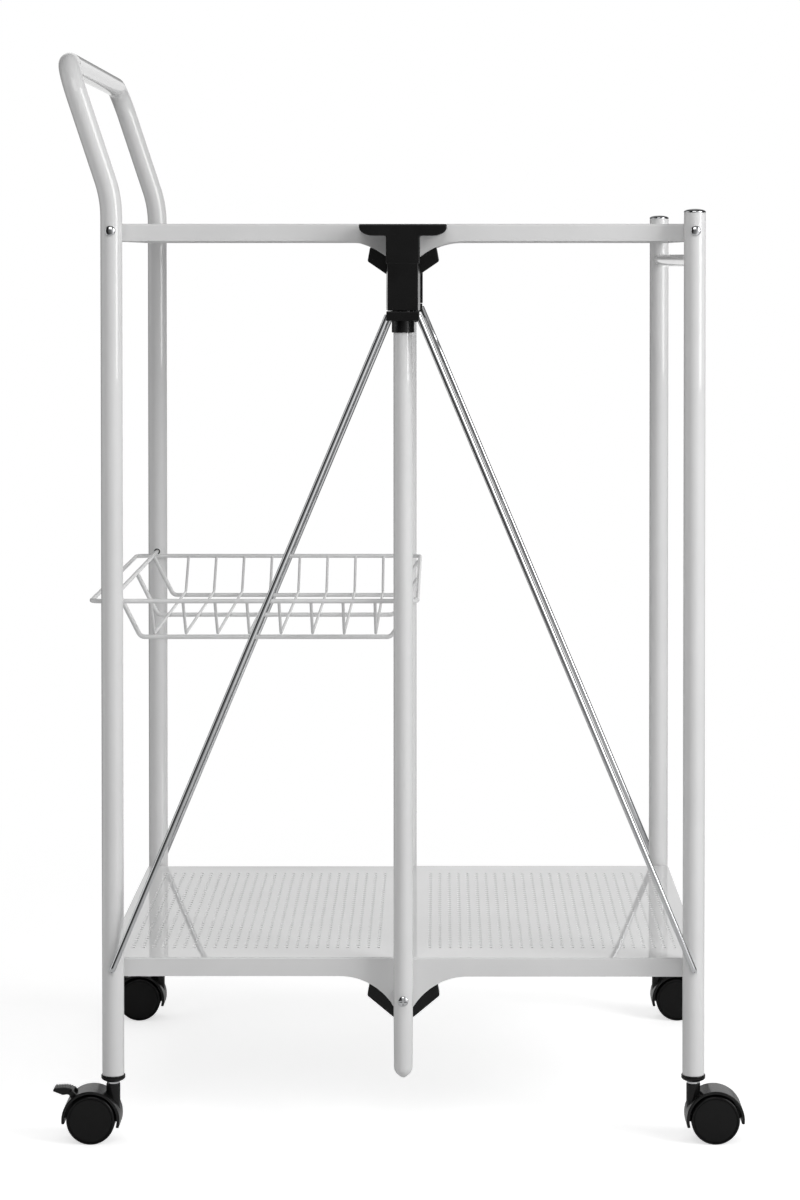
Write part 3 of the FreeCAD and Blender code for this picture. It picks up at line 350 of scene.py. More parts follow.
def apply_modifier(piece: Piece, kind: str, **settings: object) -> None:
    """Add a modifier and apply it.

    Args:
        piece: the object to change.
        kind: the modifier's type name.
        settings: the modifier's properties.
    """
    pick(piece)
    modifier = piece.modifiers.new(kind.lower(), kind)
    for name, value in settings.items():
        setattr(modifier, name, value)
    bpy.ops.object.modifier_apply(modifier=modifier.name)


def bevel(piece: Piece, width: float, segments: int, angle: float = 50) -> None:
    """Round the edges of a piece that are sharper than an angle in degrees, over a width in millimetres."""
    apply_modifier(piece, "BEVEL", width=width * MM, segments=segments, limit_method="ANGLE",
                   angle_limit=math.radians(angle), use_clamp_overlap=True, harden_normals=False)


def smooth(piece: Piece, angle: float = 35) -> Piece:
    """Shade a piece smooth, with its broad faces flat.

    Args:
        piece: the object to shade.
        angle: edges sharper than this, in degrees, stay sharp.

    Returns:
        The same object.
    """
    pick(piece)
    bpy.ops.object.shade_smooth_by_angle(angle=math.radians(angle))
    apply_modifier(piece, "WEIGHTED_NORMAL", mode="FACE_AREA", weight=100, keep_sharp=True)
    return piece


def cut(piece: Piece, cutter: Piece) -> None:
    """Take a cutter out of a piece and delete the cutter."""
    apply_modifier(piece, "BOOLEAN", operation="DIFFERENCE", object=cutter, solver="EXACT")
    bpy.data.objects.remove(cutter)


def close_mesh() -> None:
    """Merge doubles, turn all faces of the mesh in edit mode outwards and leave edit mode."""
    bpy.ops.mesh.select_all(action="SELECT")
    bpy.ops.mesh.remove_doubles(threshold=0.0005 * MM)
    bpy.ops.mesh.normals_make_consistent(inside=False)
    bpy.ops.object.mode_set(mode="OBJECT")


def select_edges(piece: Piece, test: Callable[[Vector], bool]) -> None:
    """Select, in edit mode, the edges whose two ends pass a test.

    Args:
        piece: the object in edit mode.
        test: called with the place of an end.
    """
    bpy.ops.mesh.select_all(action="DESELECT")
    bpy.ops.mesh.select_mode(type="EDGE")
    bpy.ops.object.mode_set(mode="OBJECT")
    chosen = [test(vertex.co) for vertex in piece.data.vertices]
    for edge in piece.data.edges:
        edge.select = all(chosen[number] for number in edge.vertices)
    bpy.ops.object.mode_set(mode="EDIT")


def draw_line(name: str, points: Sequence[Vector]) -> Piece:
    """Draw a line through points as a new mesh, left in edit mode with everything selected.

    Args:
        name: the piece's name.
        points: the line's points, in metres.

    Returns:
        The new object.
    """
    release()
    bpy.ops.mesh.primitive_plane_add(size=MM, location=points[0])
    piece = settle(name)
    bpy.ops.object.mode_set(mode="EDIT")
    bpy.ops.mesh.select_mode(type="VERT")
    bpy.ops.mesh.select_all(action="SELECT")
    bpy.ops.mesh.merge(type="CENTER")
    for before, after in zip(points, points[1:]):
        bpy.ops.mesh.extrude_vertices_move(TRANSFORM_OT_translate={"value": after - before})
    bpy.ops.mesh.select_all(action="SELECT")
    return piece


def prism(name: str, outline: Sequence[Vector], depth: Vector, draft: float = 1.0) -> Piece:
    """Model a block on a flat outline.

    Args:
        name: the piece's name.
        outline: corners of the closed outline, in metres.
        depth: the way the outline is pushed to make the block, in metres.
        draft: width along X of the pushed face against the outline's.

    Returns:
        The new object.
    """
    piece = draw_line(name, outline)
    bpy.ops.mesh.edge_face_add()
    bpy.ops.mesh.extrude_region_move(TRANSFORM_OT_translate={"value": depth})
    if draft != 1.0:
        bpy.ops.transform.resize(value=(draft, 1, 1), center_override=(0, 0, 0))
    close_mesh()
    return piece


def plate(name: str, outline: Sequence[Point], y: float, depth: float, draft: float = 1.0) -> Piece:
    """Model a prism on (X, Z) points that stand upright at a Y, pushed along Y, in millimetres."""
    return prism(name, [mm(x, y, z) for x, z in outline], mm(0, depth, 0), draft)


def turned(name: str, profile: Sequence[Point], base: Vector, axis: Vector = Z_AXIS,
           sides: int = TUBE_SIDES) -> Piece:
    """Model a round piece by spinning a profile.

    Args:
        name: the piece's name.
        profile: points as (radius, height along the axis), in millimetres.
        base: the profile's zero on the axis, in metres.
        axis: direction of the axis.
        sides: faces round the axis.

    Returns:
        The new object.
    """
    out = axis.orthogonal().normalized()
    piece = draw_line(name, [base + (out * radius + axis * height) * MM for radius, height in profile])
    bpy.ops.mesh.spin(steps=sides, angle=math.tau, center=base, axis=axis)
    close_mesh()
    return piece


def pin(name: str, radius: float, low: float, high: float, base: Vector, axis: Vector, sides: int) -> Piece:
    """Turn a plain round pin between two heights on an axis."""
    return turned(name, [(0, low), (radius, low), (radius, high), (0, high)], base, axis, sides)


@dataclass
class Bend:
    """One corner of a bent bar: where its straights would meet, and its bend radius in millimetres."""

    at: Vector
    radius: float = 0.0
    steps: int = 10


def bent_bar(name: str, corners: Sequence[Bend], radius: float, sides: int, closed: bool = False) -> Piece:
    """Model a round bar along straights and bends.

    Args:
        name: the piece's name.
        corners: the bar's ends and corners, in order; a closed bar starts on a straight.
        radius: the bar's radius in millimetres.
        sides: faces round the bar.
        closed: whether the bar runs back into its start.

    Returns:
        The new object.
    """
    release()
    start = corners[0].at
    turn = Z_AXIS.rotation_difference((corners[1].at - start).normalized())
    bpy.ops.mesh.primitive_circle_add(vertices=sides, radius=radius * MM, location=start,
                                      rotation=turn.to_euler())
    piece = settle(name)
    bpy.ops.object.mode_set(mode="EDIT")
    bpy.ops.mesh.select_mode(type="EDGE")
    bpy.ops.mesh.select_all(action="SELECT")
    here = start
    for corner, following in zip(corners[1:], corners[2:]):
        before = (corner.at - here).normalized()
        after = (following.at - corner.at).normalized()
        angle = before.angle(after)
        setback = corner.radius * MM * math.tan(angle / 2)
        bpy.ops.mesh.extrude_region_move(
            TRANSFORM_OT_translate={"value": corner.at - before * setback - here})
        inward = (after - before).normalized()
        centre = corner.at + inward * (corner.radius * MM / math.cos(angle / 2))
        # The spin operator turns left-handed, so its axis is the reverse of the bend's.
        bpy.ops.mesh.spin(steps=corner.steps, angle=angle, center=centre,
                          axis=after.cross(before).normalized(), use_auto_merge=False)
        here = corner.at + after * setback
    bpy.ops.mesh.extrude_region_move(TRANSFORM_OT_translate={"value": corners[-1].at - here})
    if not closed:
        bpy.ops.mesh.edge_face_add()
        select_edges(piece, lambda place: (place - start).length < (radius + NEAR) * MM)
        bpy.ops.mesh.edge_face_add()
    close_mesh()
    return piece


def copy_piece(piece: Piece, name: str, placed: Matrix) -> Piece:
    """Copy a piece with a mesh of its own.

    Args:
        piece: the finished piece.
        name: the copy's name.
        placed: where the copy goes, from the piece's own place.

    Returns:
        The copy, with its place in its mesh.
    """
    pick(piece)
    bpy.ops.object.duplicate(linked=False)
    bpy.context.object.matrix_world = placed
    return settle(name)


def join(name: str, pieces: Sequence[Piece]) -> Piece:
    """Make one object of several.

    Args:
        name: the joined piece's name.
        pieces: the objects, of which the first one stays.

    Returns:
        The joined object.
    """
    release()
    for piece in pieces:
        piece.select_set(True)
    bpy.context.view_layer.objects.active = pieces[0]
    bpy.ops.object.join()
    pieces[0].name = name
    return pieces[0]


def fuse(name: str, pieces: Sequence[Piece], angle: float = 35) -> Piece:
    """Return pieces joined by a name and shaded smooth by an angle."""
    return smooth(join(name, pieces), angle)


def drill(tube: Piece, at: Vector, axis: Vector) -> Piece:
    """Drill a hole for a pivot wire of the basket and return a black disc inside it, painted shade that
    darkens the hole.
    """
    cut(tube, pin("drill", WIRE_HOLE, -3, 7, at, axis, 24))
    # The black disc sits a few millimetres into the hole as painted shade.
    return pin("hole_shade_disc", WIRE_HOLE - 0.05, 4, 6, at, axis, 24)


# Points and outlines

def mm(x: float, y: float, z: float) -> Vector:
    """Return a point given in millimetres as metres."""
    return Vector((x, y, z)) * MM


def spread(first: float, last: float, steps: int) -> list[float]:
    """Return evenly spaced numbers from a first to a last one."""
    return [first + (last - first) * step / steps for step in range(steps + 1)]


def arc(x: float, y: float, across: float, up: float, angles: Iterable[float]) -> list[Point]:
    """Return points on an ellipse about (x, y), by its half width, half height and angles in degrees."""
    turns = [math.radians(angle) for angle in angles]
    return [(x + across * math.cos(turn), y + up * math.sin(turn)) for turn in turns]


def both_halves(half: Sequence[tuple[float, ...]]) -> list[tuple[float, ...]]:
    """Return an outline from its half at +X, with the other half mirrored."""
    return [*half, *((-point[0], *point[1:]) for point in reversed(half))]


def rounded(corners: Sequence[Triple], steps: int = 5) -> list[Point]:
    """Round the corners of a closed flat outline.

    Args:
        corners: (x, y, corner radius) in order.
        steps: straights per rounded corner.

    Returns:
        The outline's points.
    """
    points: list[Point] = []
    count = len(corners)
    for index, (x, y, radius) in enumerate(corners):
        here = Vector((x, y))
        if radius == 0:
            points.append((x, y))
            continue
        before = (Vector(corners[index - 1][:2]) - here).normalized()
        after = (Vector(corners[(index + 1) % count][:2]) - here).normalized()
        half = before.angle(after) / 2
        centre = here + (before + after).normalized() * (radius / math.sin(half))
        first = here + before * (radius / math.tan(half)) - centre
        last = here + after * (radius / math.tan(half)) - centre
        sweep = first.angle_signed(last)
        for step in range(steps + 1):
            spot = centre + Matrix.Rotation(-sweep * step / steps, 2) @ first
            points.append((spot.x, spot.y))
    return points


# Sub-assemblies

@dataclass
class Assembly:
    """A group of pieces that take their finishes from one set of materials."""

    paint: Paint


@dataclass
class EndFrames(Assembly):
    """The two tube frames: push handle with the left legs, right legs with their rail and caps."""

    leg_bottom: float = 55.0
    right_leg_top: float = 766.0
    handle_top: float = 899.0
    handle_bend_height: float = 778.0
    handle_lean: float = 18.3
    handle_bend_radius: float = 100.0
    handle_corner_radius: float = 30.0
    rail_radius: float = 5.5
    rail_height: float = 726.6
    rail_sink: float = 0.8
    cap_rim: float = 0.9
    cap_rise: float = 2.55
    cap_lip: float = 0.15
    edge_break: float = 0.4
    rivet_radius: float = 4.25
    rivet_tail: float = 8.0
    rivet_rim: float = 0.5
    rivet_rise: float = 1.9

    # The foot plug's half section: bore, flange with a groove round it, and the shank in the leg.
    plug: tuple[Point, ...] = (
        (4.05, -5.0), (6.0, -5.0), (7.7, -4.6), (9.0, -3.9), (9.8, -3.0), (10.0, -2.2), (9.9, -1.7),
        (9.55, -1.4), (9.9, -1.1), (10.0, -0.6), (9.6, 0.0), (7.7, 0.1), (7.7, 12.0), (4.05, 12.0),
        (4.05, -5.0))

    def build_handle(self) -> None:
        """Bend the left legs and the push handle from one tube."""
        crossbar = self.handle_top - TUBE_RADIUS
        reach = (crossbar - self.handle_bend_height) * math.tan(math.radians(self.handle_lean))
        front = [
            Bend(mm(-LEG_X, -LEG_Y, self.leg_bottom)),
            Bend(mm(-LEG_X, -LEG_Y, self.handle_bend_height), self.handle_bend_radius, 12),
            Bend(mm(-LEG_X - reach, -LEG_Y, crossbar), self.handle_corner_radius, 20),
        ]
        back = [Bend(Vector((b.at.x, -b.at.y, b.at.z)), b.radius, b.steps) for b in reversed(front)]
        tube = bent_bar("handle_tube", front + back, TUBE_RADIUS, TUBE_SIDES)
        # Black discs in the drilled holes are painted shade that makes the holes read dark.
        shade_discs = [drill(tube, mm(-LEG_X, row.value * (LEG_Y - TUBE_RADIUS), BASKET_PIVOT), row.outward)
                   for row in Row]
        smooth(tube)
        self.paint.dress(tube, Slot.WHITE, "left_frame", "handle_frame")
        self.paint.dress(join("wire_hole_shade_discs", shade_discs), Slot.BLACK, "left_frame")

    def build_right_legs(self) -> None:
        """Make the right legs, their rail and the domed caps."""
        top = self.right_leg_top - self.leg_bottom
        tube = [(0, 0), (TUBE_RADIUS, 0), (TUBE_RADIUS, top - self.edge_break),
                (TUBE_RADIUS - self.edge_break, top), (0, top)]
        for row in Row:
            foot = mm(LEG_X, row.value * LEG_Y, self.leg_bottom)
            leg = turned(f"right_leg_tube_{row.word}", tube, foot)
            smooth(leg)
            self.paint.dress(leg, Slot.WHITE, "right_frame", f"right_leg_{row.word}")
        reach = LEG_Y - TUBE_RADIUS + self.rail_sink
        rail_end = mm(LEG_X, -reach, self.rail_height)
        rail = pin("rail_tube", self.rail_radius, 0, 2 * reach, rail_end, Y_AXIS, 32)
        smooth(rail)
        self.paint.dress(rail, Slot.WHITE, "right_frame", "cross_rail")
        lip = TUBE_RADIUS + self.cap_lip
        cap = [(0, 0), (TUBE_RADIUS, 0), (lip, 0.3), (lip, self.cap_rim)]
        cap += arc(0, self.cap_rim, TUBE_RADIUS, self.cap_rise, range(15, 91, 15))
        tops = [mm(LEG_X, row.value * LEG_Y, self.right_leg_top) for row in Row]
        caps = [turned("leg_cap", cap, top, Z_AXIS, 40) for top in tops]
        self.paint.dress_group("leg_caps", caps, Slot.CHROME, "right_frame", "right_leg_caps", angle=50)

    def build_feet(self) -> None:
        """Make the flanged plugs in the leg ends and the rivets of the top pivots."""
        edge = self.rivet_radius
        rivet = [(0, -self.rivet_tail), (PIN_RADIUS, -self.rivet_tail), (PIN_RADIUS, 0), (edge, 0),
                 (edge, self.rivet_rim)]
        rivet += arc(0, self.rivet_rim, edge, self.rivet_rise, range(15, 91, 15))
        for side in Side:
            word = side.word
            body = f"{word}_frame"
            plugs = []
            rivets = []
            for row in Row:
                foot = mm(side.value * LEG_X, row.value * LEG_Y, self.leg_bottom)
                plugs.append(turned(f"plug_{word}_{row.word}", self.plug, foot))
                seat = mm(side.value * LEG_X, row.value * (LEG_Y + TUBE_RADIUS), TOP.pivot)
                rivets.append(turned(f"rivet_{word}_{row.word}", rivet, seat, row.outward, 32))
            self.paint.dress_group(f"foot_plugs_{word}", plugs, Slot.BLACK, body, f"{word}_foot_plugs")
            self.paint.dress_group(f"leg_rivets_{word}", rivets, Slot.CHROME, body, f"{word}_top_rivets")
            self.paint.repaint(f"{word}_spacers", Slot.BLACK)

    def build(self) -> None:
        """Build both end frames."""
        self.build_handle()
        self.build_right_legs()
        self.build_feet()


@dataclass
class ShelfPanel(Assembly):
    """Half a shelf: a perforated tray of sheet with folded skirts and two hinge ears."""

    level: Level
    side: Side
    fold_radius: float = 1.5
    overhang: float = 8.8
    middle_gap: float = 0.4
    pitch: float = 8.6
    hole_radius: float = 1.7
    hole_sides: int = 12
    columns: int = 25
    rows: int = 37
    margin_middle: float = 17.2

    def perforate(self, name: str) -> Piece:
        """Repeat a square tile with a round hole over the panel's field.

        Args:
            name: the piece's name.

        Returns:
            The flat field.
        """
        release()
        bpy.ops.mesh.primitive_plane_add(size=self.pitch * MM)
        tile = settle(name)
        bpy.ops.object.mode_set(mode="EDIT")
        bpy.ops.mesh.select_all(action="SELECT")
        bpy.ops.mesh.delete(type="ONLY_FACE")
        bpy.ops.mesh.select_all(action="SELECT")
        bpy.ops.mesh.subdivide(number_cuts=2)
        bpy.ops.mesh.select_all(action="DESELECT")
        bpy.ops.mesh.primitive_circle_add(vertices=self.hole_sides, radius=self.hole_radius * MM,
                                          rotation=(0, 0, math.pi / self.hole_sides))
        bpy.ops.mesh.select_all(action="SELECT")
        bpy.ops.mesh.bridge_edge_loops()
        bpy.ops.object.mode_set(mode="OBJECT")
        for count, way in ((self.columns, X_AXIS * self.side.value), (self.rows, Y_AXIS)):
            apply_modifier(tile, "ARRAY", count=count, use_relative_offset=False, use_constant_offset=True,
                           constant_offset_displace=way * (self.pitch * MM), use_merge_vertices=True,
                           merge_threshold=NEAR * MM)
        first = self.side.value * (self.margin_middle + self.pitch / 2)
        tile.location = mm(first, -self.pitch * (self.rows - 1) / 2, self.level.surface)
        pick(tile)
        return settle(name)

    def pull(self, piece: Piece, axis: int, place: float, way: Vector) -> None:
        """Extrude the edges of the flat sheet that lie at one place of an axis.

        Args:
            piece: the tray, in edit mode.
            axis: which coordinate the place is on.
            place: the edges' coordinate in millimetres.
            way: how far they are pulled, in metres.
        """
        flat = (self.level.surface - SHEET) * MM
        select_edges(piece, lambda end: abs(end[axis] - place * MM) < 2 * NEAR * MM and end.z > flat)
        bpy.ops.mesh.extrude_edges_move(TRANSFORM_OT_translate={"value": way})

    def fold_tray(self, name: str) -> Piece:
        """Widen the perforated field to the whole panel and fold its skirts down.

        Args:
            name: the piece's name.

        Returns:
            The tray as a thin surface.
        """
        tray = self.perforate(name)
        sign = self.side.value
        field_inner = sign * self.margin_middle
        field_outer = field_inner + sign * self.pitch * self.columns
        field_half = self.pitch * self.rows / 2
        inner = sign * self.middle_gap
        outer = sign * (LEG_X + self.overhang)
        half = SKIRT_HALF[self.side]
        down = -Z_AXIS * self.level.skirt * MM
        bpy.ops.object.mode_set(mode="EDIT")
        self.pull(tray, 0, field_inner, X_AXIS * (inner - field_inner) * MM)
        self.pull(tray, 0, field_outer, X_AXIS * (outer - field_outer) * MM)
        for row in Row:
            self.pull(tray, 1, row.value * field_half, row.outward * (half - field_half) * MM)
        for row in Row:
            self.pull(tray, 1, row.value * half, down)
        self.pull(tray, 0, outer, down)
        close_mesh()
        bevel(tray, self.fold_radius, 4, angle=60)
        return tray

    def ear_points(self) -> list[Point]:
        """Draw the ear below the skirt, with its eye and flare as arcs.

        Returns:
            The outline as (X, Z) points.
        """
        eye, flare, skirt = self.level.eye_radius, self.level.flare_radius, self.level.skirt
        flare_drop = skirt + flare
        below = flare_drop - HINGE_DROP
        flare_out = math.sqrt((flare + eye) ** 2 - below ** 2)
        first = math.degrees(math.acos(self.middle_gap / eye))
        meet = math.degrees(math.atan2(below, flare_out))
        points = [(self.middle_gap, skirt)]
        points += arc(0, HINGE_DROP, eye, -eye, spread(first, 360 - meet, 24))
        points += arc(flare_out, flare_drop, flare, -flare, spread(180 - meet, 90, 16)[1:])
        return [(self.side.value * out, self.level.surface - drop) for out, drop in points]

    def build(self) -> None:
        """Build the panel with its ears and dress it."""
        word = f"{self.level.word}_{self.side.word}"
        panel = f"{word}_panel"
        tray = self.fold_tray(f"{word}_tray")
        apply_modifier(tray, "SOLIDIFY", thickness=SHEET * MM, offset=-1, use_even_offset=True, use_rim=True)
        inside = SKIRT_HALF[self.side] - SHEET
        ears = [plate("ear", self.ear_points(), row.value * inside, row.value * SHEET) for row in Row]
        self.paint.dress_group(tray.name, [tray, *ears], Slot.WHITE, panel, panel, angle=30)


@dataclass
class CentrePosts(Assembly):
    """The centre posts with their tips, hinge brackets, T-shaped heads and sliding collars."""

    tube_bottom: float = 63.4
    tip_end_radius: float = 7.7
    tip_end: float = 9.0
    tip_bottom: float = 52.0
    taper: float = 45.0
    screw_rise: float = 2.4
    screw_radius: float = 4.25
    screw_rim: float = 1.0
    screw_dome: float = 1.5
    screw_shank: float = 2.0
    screw_length: float = 6.0
    screw_sink: float = 0.2
    recess_reach: float = 3.0
    recess_half: float = 0.7
    recess_floor: float = 0.7
    head_top: float = 756.5
    head_half: float = 35.9
    bilge_length: float = 11.2
    bilge_height: float = 7.0
    cap_bottom: float = 747.0
    bar_bottom: float = 685.7
    bar_step: float = 724.0
    bar_half: float = 14.0
    bar_draft: float = 0.89
    head_inner: float = 194.6
    head_outer: float = 222.0
    bracket_outer: float = 190.0
    bracket_depth: float = 13.0
    boss_radius: float = 4.5
    collar_top: float = 685.0
    collar_step: float = 677.4
    collar_bottom: float = 667.6
    collar_half: float = 13.5
    collar_gap: float = 0.2
    collar_neck: float = 9.35
    collar_lip: float = 8.9
    collar_lip_rise: float = 0.6
    cheek_inner: float = 15.4
    cheek_outer: float = 18.0

    def build_posts(self) -> None:
        """Make the post tubes, which narrow a little to their rounded tips, and the hinge screws."""
        tips = []
        screws = []
        shade_discs = []
        end = self.tip_end_radius
        top = self.cap_bottom - self.tube_bottom
        tube = [(0, 0), (end, 0), (POST_RADIUS, self.taper), (POST_RADIUS, top), (0, top)]
        depth = self.tube_bottom - self.tip_bottom
        bullet = [(end * (1 - s * s) ** 0.8, self.tip_end * (1 - s) - depth)
                  for s in (math.sin(math.radians(a)) for a in range(90, -1, -9))]
        for row in Row:
            foot = mm(0, row.value * LEG_Y, self.tube_bottom)
            post = turned(f"post_tube_{row.word}", tube, foot)
            hole = mm(0, row.value * (LEG_Y - POST_RADIUS), BASKET_POST_PIVOT)
            shade_discs.append(drill(post, hole, row.outward))
            smooth(post)
            self.paint.dress(post, Slot.WHITE, "centre_posts", f"post_{row.word}")
            tips.append(turned(f"tip_{row.word}", bullet + [(end, 0), (0, 0)], foot))
            screws.append(self.build_screw(row))
        # The black discs in the drilled holes are painted shade that makes the holes read dark.
        self.paint.dress(join("post_hole_shade_discs", shade_discs), Slot.BLACK, "centre_posts")
        self.paint.dress_group("post_tips_pair", tips, Slot.WHITE, "centre_posts", "post_tips")
        self.paint.dress_group("hinge_screw_pair", screws, Slot.CHROME, "centre_posts", "hinge_screws")
        self.paint.repaint("hinge_pins", Slot.CHROME)

    def build_screw(self, row: Row) -> Piece:
        """Model one pan-head screw with a cross recess.

        Args:
            row: the face of the trolley it is on.

        Returns:
            The screw.
        """
        face = LEG_Y + POST_RADIUS - self.screw_sink
        height = BOTTOM.hinge + self.screw_rise
        profile = [(0, -self.screw_length), (self.screw_shank, -self.screw_length), (self.screw_shank, 0),
                   (self.screw_radius, 0)]
        profile += arc(0, self.screw_rim, self.screw_radius, self.screw_dome, range(0, 91, 15))
        screw = turned(f"screw_{row.word}", profile, mm(0, row.value * face, height), row.outward, 40)
        reach, half = self.recess_reach, self.recess_half
        for wide, tall in ((reach, half), (half, reach)):
            low, high = height - tall, height + tall
            arm = [(-wide, low), (wide, low), (wide, high), (-wide, high)]
            cut(screw, plate("recess", arm, row.value * (face + self.recess_floor), row.value * reach))
        return screw

    def build_head(self, row: Row) -> list[Piece]:
        """Model one head: a boat-shaped cross piece on an upright bar.

        Args:
            row: the face of the trolley it is on.

        Returns:
            The cross piece and the bar.
        """
        bilge = arc(self.head_half - self.bilge_length, self.cap_bottom + self.bilge_height,
                    self.bilge_length, -self.bilge_height, range(0, 91, 10))
        side = self.bar_half - 0.1
        half = [(self.head_half, self.head_top, 1.2), *((x, z, 0) for x, z in bilge),
                (side, self.cap_bottom, 1.5), (side, self.bar_step, 0)]
        deep = self.head_outer - self.head_inner
        cross = plate("cross", rounded(both_halves(half)), row.value * self.head_inner, row.value * deep)
        stalk = both_halves([(self.bar_half, self.bar_step + 2, 0), (self.bar_half, self.bar_bottom, 0.8)])
        bar = plate("bar", rounded(stalk), row.value * (self.head_inner + 0.5), row.value * (deep - 1.0),
                    self.bar_draft)
        bevel(cross, 1.2, 4)
        bevel(bar, 0.9, 4)
        return [cross, bar]

    def build_bracket(self, level: Level, row: Row) -> list[Piece]:
        """Model one winged bracket behind a post.

        Args:
            level: the shelf it carries.
            row: the face of the trolley it is on.

        Returns:
            The bracket and its hinge boss.
        """
        wing = [(x, level.surface - drop, radius) for x, drop, radius in level.wing]
        inner = row.value * (self.bracket_outer - self.bracket_depth)
        wings = plate("wings", rounded(both_halves(wing)), inner, row.value * self.bracket_depth)
        bevel(wings, 0.8, 3)
        reach = LEG_Y - POST_RADIUS - self.bracket_outer
        seat = mm(0, row.value * self.bracket_outer, level.hinge)
        return [wings, pin("boss", self.boss_radius, -1, reach, seat, row.outward, 32)]

    def collar_block(self, name: str, outline: Sequence[Point], row: Row) -> Piece:
        """Push an outline, drawn from a post's axis, up from the collar's step to its top."""
        corners = [mm(x, row.value * (LEG_Y + out), self.collar_step) for x, out in outline]
        return prism(name, corners, mm(0, 0, self.collar_top - self.collar_step))

    def build_collar(self, row: Row) -> list[Piece]:
        """Model one collar: a slotted block for the rods on a round neck.

        Args:
            row: the face of the trolley it is on.

        Returns:
            The neck, the cheek and the block on both sides of the slot, and the lip.
        """
        low, step, top, half = self.collar_bottom, self.collar_step, self.collar_top, self.collar_half
        axis = mm(0, row.value * LEG_Y, 0)
        bore = POST_RADIUS + self.collar_gap
        neck_radius, neck_top = self.collar_neck, step + 0.2
        ring = [(bore, low), (neck_radius - 0.35, low), (neck_radius, low + 0.4), (neck_radius, neck_top),
                (bore, neck_top), (bore, low)]
        neck = turned("collar_neck", ring, axis)
        inner, outer = self.cheek_inner, self.cheek_outer
        sheet = rounded([(-half, inner, 0), (half, inner, 0), (half, outer, 0.8), (-half, outer, 0.8)], 3)
        cheek = self.collar_block("cheek", sheet, row)
        bevel(cheek, 0.5, 2)
        outline = both_halves([(8.0, 15.6), (8.0, 9.7), (half, 9.7), (half, -8.0), (11.5, -10.0)])
        shell = self.collar_block("shell", outline, row)
        cut(shell, pin("post_room", bore, step - 5, top + 5, axis, Z_AXIS, TUBE_SIDES))
        lip, lip_bottom, lip_top = self.collar_lip, top - 0.2, top + self.collar_lip_rise
        edge = [(bore, lip_bottom), (lip, lip_bottom), (lip, lip_top), (bore, lip_top), (bore, lip_bottom)]
        return [neck, cheek, shell, turned("lip", edge, axis)]

    def build(self) -> None:
        """Build the posts and all that is fixed to them, and the collars."""
        self.build_posts()
        for row in Row:
            name = f"head_{row.word}"
            self.paint.dress_group(f"hinge_{name}", self.build_head(row), Slot.BLACK, "centre_posts", name)
            for level in (TOP, BOTTOM):
                name = f"bracket_{level.word}_{row.word}"
                bracket = self.build_bracket(level, row)
                self.paint.dress_group(name, bracket, Slot.BLACK, "centre_posts", f"hinge_{name}")
            name = f"collar_{row.word}"
            self.paint.dress_group(f"{name}_slider", self.build_collar(row), Slot.BLACK, name, name)


@dataclass
class Rods(Assembly):
    """The four chrome rods between the collars and the bottom pivots."""

    plane: float = 217.5
    top_x: float = 12.5
    top_z: float = 682.0
    bend_radius: float = 4.0
    tail: float = 3.0
    end_rounding: float = 0.8
    cap_radius: float = 4.0
    cap_height: float = 2.4
    cap_bevel: float = 0.8

    def build(self) -> None:
        """Bend each rod, add its retaining cap and dress it."""
        rim, end = self.cap_radius, self.cap_height
        cap = [(PIN_RADIUS, 0), (rim, 0), (rim, end - self.cap_bevel), (rim - self.cap_bevel, end),
               (PIN_RADIUS, end), (PIN_RADIUS, 0)]
        for side in Side:
            skirt = SKIRT_HALF[side] - SHEET
            leg_x = side.value * LEG_X
            for row in Row:
                name = f"{side.word}_{row.word}"
                places = ((leg_x, skirt - self.tail, BOTTOM.pivot), (leg_x, self.plane, BOTTOM.pivot),
                          (side.value * self.top_x, self.plane, self.top_z))
                corners = [Bend(mm(x, row.value * y, z), self.bend_radius) for x, y, z in places]
                rod = bent_bar(f"rod_bar_{name}", corners, PIN_RADIUS, 24)
                bevel(rod, self.end_rounding, 4, angle=70)
                seat = mm(leg_x, row.value * (skirt - 0.1), BOTTOM.pivot)
                pieces = [rod, turned("rod_cap", cap, seat, -row.outward, 28)]
                self.paint.dress_group(rod.name, pieces, Slot.CHROME, f"rod_{name}", f"rod_{name}", angle=40)


